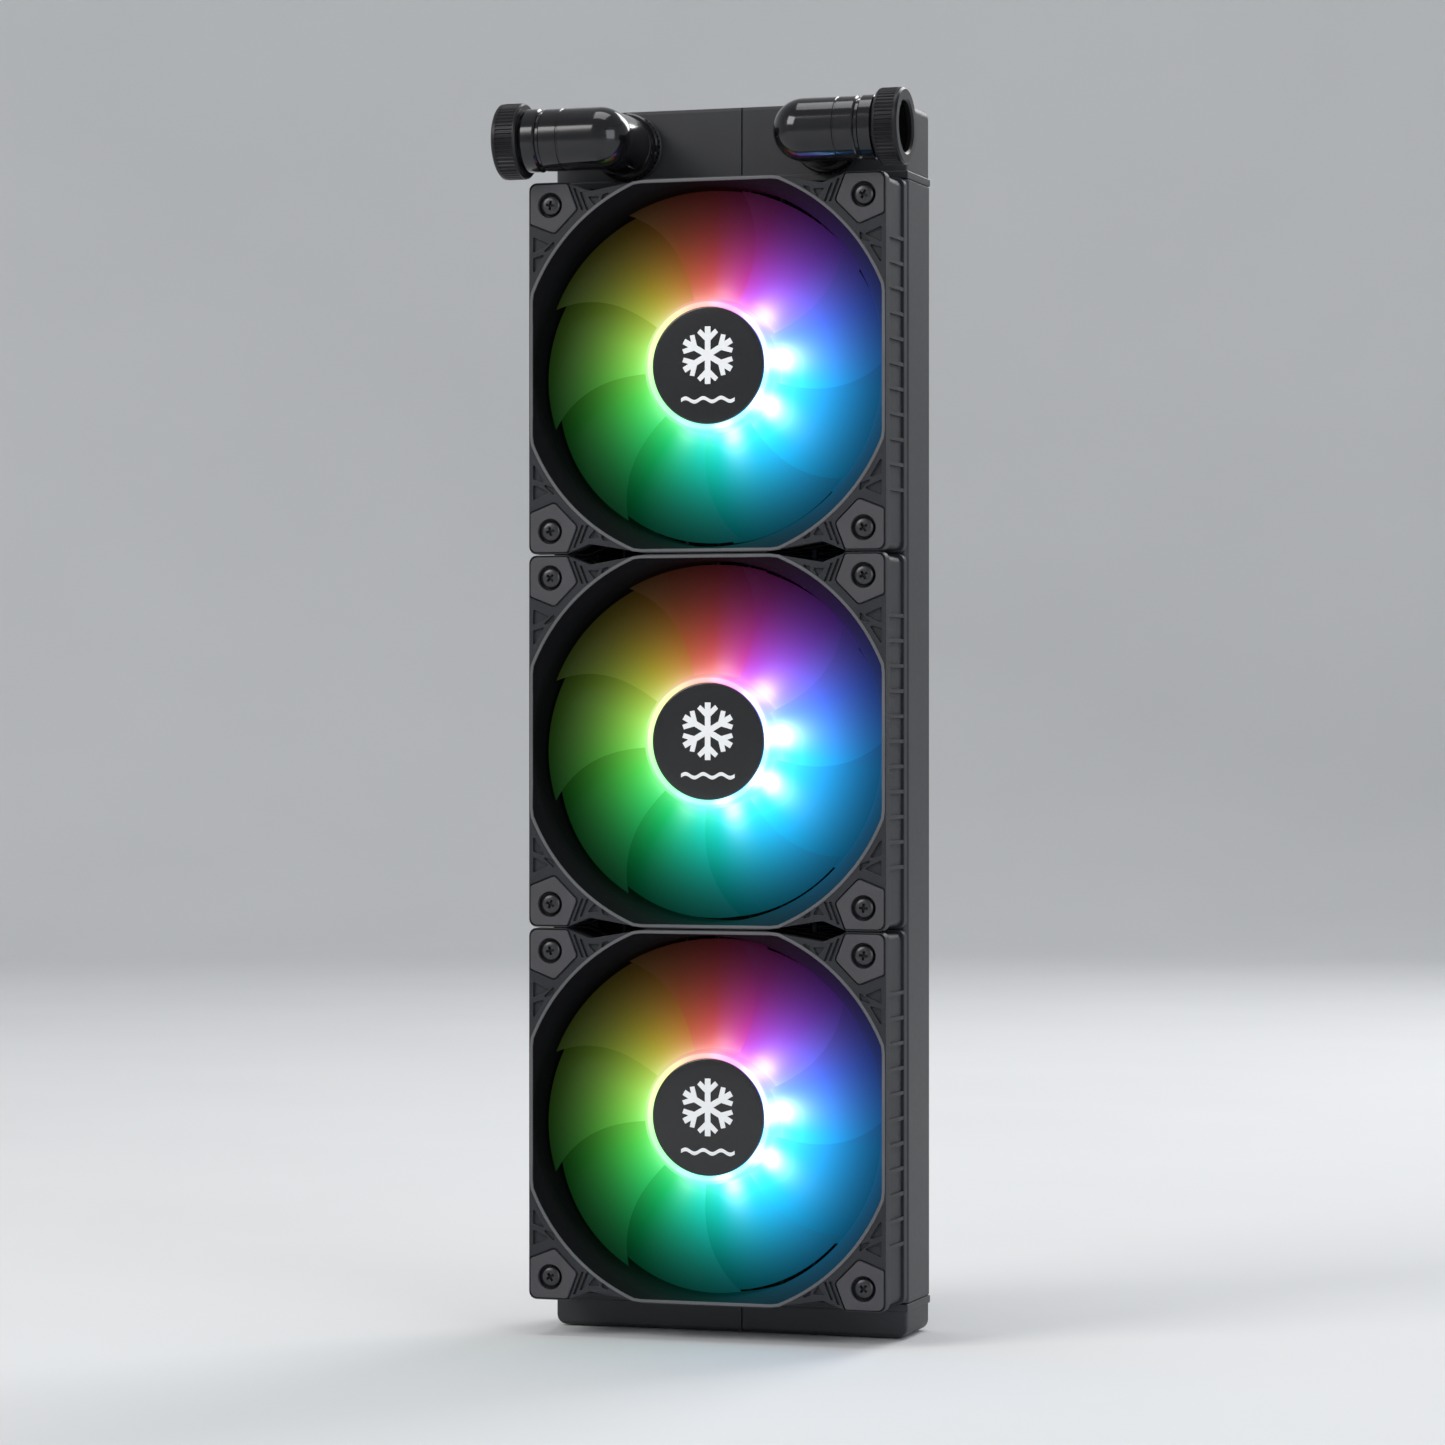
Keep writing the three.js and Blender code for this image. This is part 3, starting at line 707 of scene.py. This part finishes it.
def face_pockets():
    """The pockets beside each pad and the groove round it, which stays inside the frame's edge."""
    edge = FAN_EDGE - 0.45
    groove_width = 0.55
    pockets = []
    for corner in CORNERS:
        pockets += [corner_outline(corner, points) for points in CHEVRONS + TOP_POCKETS + SIDE_POCKETS]
        groove = corner_outline(corner, grown(PAD, groove_width))
        pockets.append([Vector((max(-edge, min(edge, p.x)), max(-edge, min(edge, p.y)))) for p in groove])
    return pockets


def add_strut(bm, index):
    """A rear strut that leans off the radius, bevelled, from the hub plate to the duct."""
    root, tip, beside = 21, 58.4, 7.7
    outline = rounded([(root, -2.5, 0.6), (tip, -2.0, 0.6), (tip, 2.0, 0.6), (root, 2.5, 0.6)])
    turn = Matrix.Rotation(math.radians(90 * index + 45), 4, "Z")
    merge(bm, plate([outline], 0.15, 4.0, 0.5), turn @ Matrix.Translation((0, beside, 0)))


def add_ribs(bm):
    """Short ribs across both outer sides, between the frame's two flanges."""
    height, half, pitch = 0.7, 0.6, 8.0
    for side in (-1, 1):
        near = side * (FAN_EDGE - WAIST)
        far = near + side * height
        for i in range(-5, 6):
            y = i * pitch
            add_block(bm, (min(near, far), y - half, 3.5), (max(near, far), y + half, 20.2))


def fan_frame_mesh():
    """Slots of the mesh: 0 moulding, 1 duct wall, 2 lip of the mouth."""
    seats = [round_outline(2.15, 20, (x * HOLE, y * HOLE)) for x, y in CORNERS]
    sinks = [round_outline(SINK, 32, (x * HOLE, y * HOLE)) for x, y in CORNERS]
    duct = round_outline(DUCT + 0.5, 120)
    rim = [Vector((p.x, p.y)) for p in mouth_loop(0.1, 0)]
    rear_flange, front_flange, sink_floor = 3.6, 20.0, 22.7
    lap = 0.3
    bm = plate([fan_outline(), duct, *seats], 0.0, rear_flange, 0.35)
    merge(bm, plate([fan_outline(WAIST), duct, *seats], rear_flange - lap, front_flange + 0.5, 0.3))
    merge(bm, plate([fan_outline(), rim, *seats], front_flange, sink_floor, 0.3))
    merge(bm, plate([fan_outline(), rim, *sinks], sink_floor - lap, FACE - 0.9, 0.1))
    merge(bm, plate([fan_outline(0.02), rim, *face_pockets()], FACE - 1.1, FACE, 0.16))
    add_duct(bm)
    for index in range(4):
        add_strut(bm, index)
    hub_plate = [
        (0, 0.0), (24.9, 0.0), (25.5, 0.6), (25.5, 2.1), (25.1, 2.5), (6.2, 2.5), (6.2, 15.5),
        (4.6, 15.5), (4.6, 2.0), (0, 2.0),
    ]
    add_lathe(bm, hub_plate, 72)
    add_ribs(bm)
    return new_mesh("fan_frame", bm)


def pad_mesh(corner):
    outline = corner_outline(corner, PAD)
    hole = round_outline(SINK, 32, (corner[0] * HOLE, corner[1] * HOLE))
    return new_mesh("corner_pad", plate([outline, hole], FACE - 0.9, FAN_DEPTH, 0.22))


# ---------------------------------------------------------------- screws

def cross_bar(top, along_x):
    """One bar of the cross recess, which narrows towards its floor."""
    long, short = 1.9, 0.42
    size = (long, short) if along_x else (short, long)
    bar = bmesh.new()
    verts = add_block(bar, (-size[0], -size[1], top - 1.15), (size[0], size[1], top + 1))
    for v in verts:
        if v.co.z < top:
            v.co.x *= 0.5 if along_x else 1.0
            v.co.y *= 1.0 if along_x else 0.5
    return bar


def screw_mesh(materials):
    """A pan head machine screw with a cross recess; z = 0 is the screw's point."""
    top = SCREW_HIGH.z - SCREW_LOW.z
    seat = top - 1.8
    edge = seat + 0.75
    thread, groove, shank, head, crown = 1.5, 1.22, 1.45, 3.3, 1.5
    pitch = 0.5
    profile = [(0, 0.0), (1.0, 0.0)]
    for k in range(14):
        z = 0.4 + k * pitch
        profile += [(thread, z), (groove, z + pitch / 2)]
    profile += [(shank, 8.0), (shank, seat), (head - 0.3, seat), (head, seat + 0.25), (head, edge)]
    for k in range(1, 7):
        a = k / 6 * math.pi / 2
        profile.append((crown + (head - crown) * math.cos(a), edge + (top - edge) * math.sin(a)))
    profile.append((0, top))
    bm = bmesh.new()
    add_lathe(bm, profile, 40)
    bm = boolean(bm, [cross_bar(top, True), cross_bar(top, False)], "DIFFERENCE")
    mesh = new_mesh("fan_screw", bm, 28)
    mesh.materials.append(materials["screw"])
    mesh.materials.append(materials["recess"])
    # Faces on the walls and floor of the cross recess take the darker material, as painted shade.
    for polygon in mesh.polygons:
        depth = top - polygon.center.z / MM
        reach = math.hypot(polygon.center.x, polygon.center.y) / MM
        wall = 0.25 < depth < 1.2 and polygon.normal.z < 0.9 and reach < 1.95
        floor = 0.9 < depth < 1.3 and reach < 1.9
        if wall or floor:
            polygon.material_index = 1
    return mesh


# ---------------------------------------------------------------- rotor

def blade_grid(face, along=26, across=18):
    """Points of one face of a blade, from root to tip and from trailing to leading edge."""
    rows = []
    for i in range(along + 1):
        s = i / along
        radius, span, rear, front, thick = (
            BLADE[name][0] + (BLADE[name][1] - BLADE[name][0]) * s
            for name in ("reach", "span", "rear", "front", "thick")
        )
        row = []
        for j in range(across + 1):
            t = j / across
            angle = BLADE["sweep"] * s * s + span * (t - 0.5)
            bow = BLADE["bow"] * math.sin(math.pi * t)
            half = thick * math.sqrt(max(0.06, math.sin(math.pi * (0.04 + 0.92 * t)))) / 2
            z = rear + (front - rear) * t + bow + face * half
            row.append(Vector((radius * math.cos(angle), radius * math.sin(angle), z)))
        rows.append(row)
    return rows


def add_blade(bm, turn):
    """One twisted blade: its outline is skinned ring by ring from root to tip."""
    upper, lower = blade_grid(1), blade_grid(-1)
    rings = [up + list(reversed(down)) for up, down in zip(upper, lower)]
    blade = bmesh.new()
    add_rings(blade, rings, cap_ends=True)
    merge(bm, blade, Matrix.Rotation(turn, 4, "Z"))


def impeller_mesh():
    """The cup that carries the rotor, with a sleeve for the shaft, and the blades round it."""
    bm = bmesh.new()
    profile = [
        (1.55, 16.2), (3.5, 16.2), (3.5, 18.5), (19.75, 18.5), (19.75, 5.8), (HUB - 0.2, 5.8),
        (HUB, 6.0), (HUB, 20.9), (21.2, 21.4), (20.5, 21.5), (20.45, 21.2), (20.45, 20.2),
        (1.55, 20.0), (1.55, 16.2),
    ]
    add_lathe(bm, profile, 96)
    for i in range(BLADES):
        add_blade(bm, 2 * math.pi * i / BLADES)
    return new_mesh("impeller", bm, 40)


def light_ring_mesh():
    profile = [
        (19.1, 20.3), (20.35, 20.3), (20.35, 21.9), (20.05, 22.25), (19.3, 22.3), (19.1, 22.1),
        (19.1, 20.3),
    ]
    return lathe("light_ring", profile, 96)


def cap_mesh():
    """A disc with a rounded edge and a slight dome."""
    edge, height, dome = 18.2, 21.7, 0.28
    profile = [(0, 20.35), (18.4, 20.35), (18.75, 20.6), (18.75, 21.45), (18.6, 21.62), (edge, height)]
    for k in range(1, 9):
        r = edge * (1 - k / 8)
        profile.append((r, height + dome * (1 - (r / edge) ** 2)))
    return lathe("hub_cap", profile, 96, sharp=50)


# One arm of the snowflake, from the top of its right side down to the joint with the next arm
SNOW_ARM = ((0.95, 9.2), (0.95, 7.0), (2.5, 8.4), (3.5, 7.2), (0.95, 4.7), (0.95, 1.645))


def emblem_mesh():
    """A snowflake over a small wave, standing a hair proud of the cap."""
    flake_y, wave_y = 3.2, -11.0
    width, height, crests, stroke = 18, 0.6, 3, 1.2
    arm = [(-x, y) for x, y in reversed(SNOW_ARM[:-1])] + list(SNOW_ARM)
    flake = []
    for k in range(6):
        a = -k * math.pi / 3
        for x, y in arm:
            turned = Vector((x * math.cos(a) - y * math.sin(a), x * math.sin(a) + y * math.cos(a)))
            flake.append(turned + Vector((0, flake_y)))
    bm = plate([flake], 21.6, 22.1, 0.05)
    steps = 36
    wave = []
    for k in range(steps + 1):
        share = k / steps
        wave.append(Vector(((share - 0.5) * width, height * math.sin(share * crests * 2 * math.pi))))
    upper = [p + Vector((0, wave_y + stroke / 2)) for p in wave]
    lower = [p + Vector((0, wave_y - stroke / 2)) for p in reversed(wave)]
    merge(bm, plate([upper + lower], 21.4, 21.98, 0.05))
    return new_mesh("emblem", bm)


def lamp_mesh():
    """The ring of lamps on the circuit board."""
    bm = bmesh.new()
    for i in range(LAMPS):
        turn = Matrix.Rotation(math.radians(90 - LAMP_TURN - 360 / LAMPS * i), 4, "Z")
        add_block(bm, (21.4, -1.3, 4.3), (24.2, 1.3, 5.3), turn)
    bevel_edges(bm, 0.2)
    return new_mesh("lamps", bm)


# ---------------------------------------------------------------- radiator

def tank_mesh(near, far, ports):
    """A folded tank with a lapped seam along its open edge, y from near to far."""
    side = 1 if far > 0 else -1
    low, high = min(near, far), max(near, far)
    lap = 0.35
    half = HALF_WIDTH - lap
    closed_fold, open_fold = 3.2, 1.6
    low_fold, high_fold = (closed_fold, open_fold) if side < 0 else (open_fold, closed_fold)
    body = rounded([
        (-half, low, low_fold), (half, low, low_fold), (half, high, high_fold), (-half, high, high_fold),
    ], steps=6)
    # A fine seam runs down the face, a little right of the middle
    slot = bmesh.new()
    add_block(slot, (4.0, low - 1, DEPTH - 1.3), (4.45, high + 1, DEPTH + 1))
    bm = boolean(plate([body], lap, DEPTH - lap, 1.1), [slot], "DIFFERENCE")
    seam = near + side * 2.6
    bottom, top = min(near, seam), max(near, seam)
    strip = rounded([
        (-HALF_WIDTH, bottom, 0.5), (HALF_WIDTH, bottom, 0.5),
        (HALF_WIDTH, top, 0.5), (-HALF_WIDTH, top, 0.5),
    ])
    merge(bm, plate([strip], 0.0, DEPTH, 0.4))
    for x in ports:
        boss = bmesh.new()
        profile = [
            (6.6, DEPTH - 5), (11, DEPTH - 5), (11, DEPTH + 0.45), (10.6, DEPTH + 0.8), (7.2, DEPTH + 0.8),
            (6.6, DEPTH + 0.3), (6.6, DEPTH - 5),
        ]
        add_lathe(boss, profile, 64)
        merge(bm, boss, Matrix.Translation((x, PORT.y, 0)))
    return new_mesh("tank", bm)


def channel_line(start, radius, bend):
    """One face of the folded sheet, from the front flange's edge round both bends to the rear one's."""
    line = [(FLANGE_IN, start)]
    for k in range(6):
        a = math.pi / 2 * k / 5
        line.append((HALF_WIDTH - bend + radius * math.sin(a), DEPTH - bend + radius * math.cos(a)))
    return line + [(x, DEPTH - z) for x, z in reversed(line)]


def channel_mesh(side):
    """A folded sheet with round bends, and pressed screw holes in both flanges."""
    bend = 1.8
    sheet = 1.2
    outer = channel_line(DEPTH, bend, bend)
    inner = channel_line(DEPTH - sheet, bend - sheet, bend)
    profile = outer + list(reversed(inner))
    bm = bmesh.new()
    rings = [[Vector((side * x, y, z)) for x, z in profile] for y in (-CHANNEL_END, CHANNEL_END)]
    add_rings(bm, rings, cap_ends=True)
    holes = bmesh.new()
    for centre in FAN_CENTRES.values():
        for step in (-HOLE, HOLE):
            for z in (-1.0, DEPTH - 3):
                hole = bmesh.new()
                add_rings(hole, [circle(1.9, 20, z), circle(1.9, 20, z + 4)], cap_ends=True)
                merge(holes, hole, Matrix.Translation((side * HOLE, centre + step, 0)))
    bm = boolean(bm, [holes], "DIFFERENCE")
    bevel_edges(bm, 0.18, 50, 1)
    return new_mesh("side_channel", bm, 40)


def tube_bank_mesh():
    """Flat tubes with round edges, and the header plates that they are soldered into."""
    low, high = in_front_frame("tube_bank")
    strip_low, strip_high = in_front_frame("fin_strip_01")
    pitch = in_front_frame("fin_strip_02")[0].x - strip_low.x
    back, front = 4.9, DEPTH - 4.9
    thick, edge = 2, 0.98
    header = (180.3, 181.5)
    bm = bmesh.new()
    for i in range(FIN_STRIPS - 1):
        left = strip_high.x + 0.3 + i * pitch
        right = left + thick
        section = rounded([
            (left, back, edge), (right, back, edge), (right, front, edge), (left, front, edge),
        ])
        rings = [[Vector((p.x, y, p.y)) for p in section] for y in (low.y + 0.1, high.y - 0.1)]
        add_rings(bm, rings, cap_ends=True)
    for near, far in (header, (-header[1], -header[0])):
        add_block(bm, (low.x, near, low.z), (high.x, far, high.z))
    return new_mesh("tube_bank", bm)


def fin_mesh(node):
    """One sheet of thin metal, folded to and fro between two tubes, and waved from front to back.

    Its ends reach a little into the tanks' headers, so that no gap shows between them.
    """
    low, high = in_front_frame(node)
    left, right = low.x + 0.05, high.x - 0.15
    sheet = 0.12
    folds = 376
    bend = 0.3
    crest = 1.6
    buried = 1.0
    start = low.y - buried
    rise = (high.y + buried - crest - bend - start) / folds
    across = []
    for k in range(folds + 1):
        y = start + k * rise
        x = left if k % 2 == 0 else right
        across += [(x, y), (x, y + bend)]
    waves = ((4.8, 0.0), (9.1, crest), (13.5, 0.0), (17.9, crest), (DEPTH - 4.8, 0.0))
    bm = bmesh.new()
    grid = [[bm.verts.new((x, y + wave, z)) for z, wave in waves] for x, y in across]
    for a, b in zip(grid, grid[1:]):
        for i in range(len(waves) - 1):
            bm.faces.new((a[i], a[i + 1], b[i + 1], b[i]))
    bm.normal_update()
    bmesh.ops.solidify(bm, geom=bm.faces[:], thickness=sheet)
    return new_mesh("fin", bm, 60)


# ---------------------------------------------------------------- elbow fittings

def knurled(profile, teeth, depth):
    """A lathe of (radius, z, cut) points, where cut 1 lets straight teeth in and 0 leaves it round."""
    count = teeth * 4
    rings = []
    for r, z, cut in profile[:-1]:
        ring = []
        for i in range(count):
            a = 2 * math.pi * i / count
            notch = depth * cut * (1 if i % 4 in (2, 3) else 0)
            ring.append(Vector(((r - notch) * math.cos(a), (r - notch) * math.sin(a), z)))
        rings.append(ring)
    bm = bmesh.new()
    add_rings(bm, rings, closed_along=True)
    return bm


def elbow_base_mesh():
    """The threaded base: spigot below, seal groove, knurled flange, and the spigot the body turns on."""
    profile = [
        (4.2, -4.5, 0), (5.9, -4.5, 0), (6.2, -4.2, 0), (6.2, 1.1, 0), (7.0, 1.1, 0), (7.0, 2.3, 0),
        (9.4, 2.3, 0), (9.4, 1.1, 0), (10.5, 1.1, 0), (11.0, 1.6, 0), (11.0, 1.9, 1), (11.0, 4.2, 1),
        (11.0, 4.5, 0), (10.5, 5.0, 0), (9.5, 5.0, 0), (9.3, 5.2, 0), (9.5, 5.5, 0), (9.5, 6.9, 0),
        (9.1, 7.1, 0), (9.1, 7.6, 0), (9.5, 7.8, 0), (9.5, 8.8, 0), (9.2, 9.1, 0), (6.1, 9.1, 0),
        (6.1, 14.3, 0), (5.9, 14.5, 0), (4.2, 14.5, 0), (4.2, -4.5, 0),
    ]
    return new_mesh("elbow_base", knurled(profile, 40, 0.35))


def sideways(bm):
    """Turns a shape from the z axis to the barrel's axis, pointing left."""
    turn = Matrix.Translation((0, 0, BARREL)) @ Matrix.Rotation(-math.pi / 2, 4, "Y")
    bmesh.ops.transform(bm, matrix=turn, verts=bm.verts)
    return bm


def shape_of(profile, count=64):
    bm = bmesh.new()
    add_lathe(bm, profile, count)
    return bm


def elbow_body_mesh():
    """Riser, round corner and grooved barrel in one casting, bored through, with a tube socket."""
    riser = shape_of([(0, 9.4), (9.5, 9.4), (9.8, 9.7), (9.8, 12.0), (9.8, BARREL), (0, BARREL)])
    ball = bmesh.new()
    bmesh.ops.create_uvsphere(ball, u_segments=64, v_segments=32, radius=10.0)
    bmesh.ops.translate(ball, verts=ball.verts, vec=(0, 0, BARREL))
    barrel = sideways(shape_of([
        (0, 0), (10, 0), (10, 11.6), (9.75, 11.8), (9.75, 12.2), (10, 12.4), (10, 18.0), (9.6, 18.4),
        (9.0, 18.5), (9.0, 19.6), (9.6, 19.7), (10.2, 20.2), (10.2, 24.0), (9.8, 24.4), (9.0, 24.4),
        (9.0, 30.6), (8.7, 31.0), (0, 31.0),
    ]))
    body = boolean(riser, [ball, barrel], "UNION")
    bore_end = BARREL + 1
    bore = shape_of([(0, 8), (6.4, 8), (6.4, 14.8), (4.2, 14.8), (4.2, bore_end), (0, bore_end)])
    socket = sideways(shape_of([(0, -1), (4.2, -1), (4.2, 18), (8.15, 18), (8.15, 32), (0, 32)]))
    body = boolean(body, [bore, socket], "DIFFERENCE")
    return new_mesh("elbow_body", body, 30)


def elbow_collar_mesh():
    """The compression collar: a knurled ring round the barrel's end, with an inward lip."""
    profile = [
        (9.3, 25.3, 0), (11.6, 25.3, 0), (12.1, 25.8, 0), (12.1, 26.2, 0), (12.2, 26.3, 1), (12.2, 31.9, 1),
        (12.1, 32.0, 0), (12.1, 32.9, 0), (11.5, 33.45, 0), (8.9, 33.45, 0), (8.2, 32.8, 0), (8.2, 31.4, 0),
        (9.3, 31.4, 0), (9.3, 25.3, 0),
    ]
    return new_mesh("elbow_collar", sideways(knurled(profile, 54, 0.45)))


# ---------------------------------------------------------------- assembly

def build_fans(materials):
    housing = fan_frame_mesh()
    # The duct wall carries painted lamp light, and the lip's lighter colour is a painted highlight.
    housing_looks = [materials["frame"], materials["duct"], materials["lip"]]
    pads = {corner: pad_mesh(corner) for corner in CORNERS}
    screw = screw_mesh(materials)
    impeller = impeller_mesh()
    ring, cap, emblem, lamps = light_ring_mesh(), cap_mesh(), emblem_mesh(), lamp_mesh()
    for row in ROWS:
        name = f"fan_{row}_"
        rotor = name + "rotor"
        at = (0, FAN_CENTRES[row], FAN_REAR)
        place(
            name + "housing", housing, at, replaces=[name + "frame"],
            materials=housing_looks,
        )
        place(
            name + "blades", impeller, at, body=rotor, replaces=[name + "impeller"],
            materials=[materials["blade"]],
        )
        place(
            name + "light_ring", ring, at, body=rotor,
            materials=[materials["ring"]],
        )
        place(
            name + "cap", cap, at, body=rotor, replaces=[name + "hub_cap"],
            materials=[materials["cap"]],
        )
        place(name + "emblem", emblem, at, body=rotor, materials=[materials["emblem"]])
        place(name + "lamps", lamps, at, materials=[materials["lamp"]])
        for index, corner in enumerate(CORNERS):
            label = str(index + 1)
            place(name + "pad_" + label, pads[corner], at, materials=[materials["pad"]])
            spot = (corner[0] * HOLE, FAN_CENTRES[row] + corner[1] * HOLE, SCREW_LOW.z)
            # Each screw was tightened to an angle of its own
            turn = 0.5 + 1.9 * index + FAN_CENTRES[row]
            place(
                name + "bolt_" + label, screw, spot, turn, replaces=[name + "screw_" + label],
            )


def build_radiator(materials):
    paint = [materials["paint"]]
    low, high = in_front_frame("top_tank")
    place(
        "top_end_tank", tank_mesh(low.y, high.y, [-PORT.x, PORT.x]), replaces=["top_tank"],
        materials=paint,
    )
    low, high = in_front_frame("bottom_tank")
    place(
        "bottom_end_tank", tank_mesh(high.y, low.y, []), replaces=["bottom_tank"],
        materials=paint,
    )
    for name, side in SIDES.items():
        place(
            f"channel_{name}", channel_mesh(side), replaces=[f"side_channel_{name}"],
            materials=paint,
        )
    place(
        "coolant_tubes", tube_bank_mesh(), replaces=["tube_bank"],
        materials=[materials["tube"]],
    )
    for i in range(FIN_STRIPS):
        node = f"fin_strip_{i + 1:02d}"
        place(
            f"fins_{i + 1:02d}", fin_mesh(node), replaces=[node],
            materials=[materials["fin"]],
        )


def build_elbows(materials):
    base, body, collar = elbow_base_mesh(), elbow_body_mesh(), elbow_collar_mesh()
    for name, side in SIDES.items():
        at = (side * PORT.x, PORT.y, DEPTH)
        turn = 0.0 if side < 0 else math.pi
        label = f"elbow_{name}_"
        arm = label + "arm"
        place(
            label + "flange", base, at, turn, replaces=[label + "base"],
            materials=[materials["fitting"]],
        )
        place(
            label + "casting", body, at, turn, arm, [label + "body"],
            [materials["fitting"]],
        )
        place(
            label + "ring", collar, at, turn, arm, [label + "collar"],
            [materials["knurl"]],
        )


def finish_cad_nodes(materials):
    """Better materials for the CAD nodes whose shape is right."""
    looks = {
        "rotor_magnet": "steel",
        "shaft": "steel",
        "bearing": "bronze",
        "stator": "winding",
        "circuit_board": "board",
    }
    for row in ROWS:
        for node, look in looks.items():
            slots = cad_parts[f"fan_{row}_{node}"].material_slots
            slots[0].material = materials[look]
    for name in SIDES:
        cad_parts[f"elbow_{name}_seal"].material_slots[0].material = materials["seal"]


def make_floor():
    """A pale floor that sweeps up into a round backdrop."""
    floor = cad_bounds[0].z / MM - 0.5
    flat, sweep, height = 2400, 900, 2600
    profile = [(0.001, floor), (flat, floor)]
    for k in range(1, 13):
        a = math.pi / 2 * k / 12
        profile.append((flat + sweep * math.sin(a), floor + sweep * (1 - math.cos(a))))
    profile.append((flat + sweep, floor + height))
    bm = bmesh.new()
    add_rings(bm, [circle(r, 96, z) for r, z in profile])
    mesh = new_mesh("floor", bm, 80)
    n = Nodes("floor_paint")
    grain = n.noise(n.object_place(), 6.0, 2.0)
    n.tree.links.new(n.mix(grain, (0.70, 0.71, 0.72), (0.74, 0.75, 0.76)), n.shader.inputs["Base Color"])
    n.shader.inputs["Roughness"].default_value = 0.85
    mesh.materials.append(n.material)
    backdrop = bpy.data.objects.new("floor", mesh)
    bpy.context.scene.collection.objects.link(backdrop)


make_camera()
make_lights()
all_materials = make_materials()
build_radiator(all_materials)
build_fans(all_materials)
build_elbows(all_materials)
finish_cad_nodes(all_materials)
make_floor()
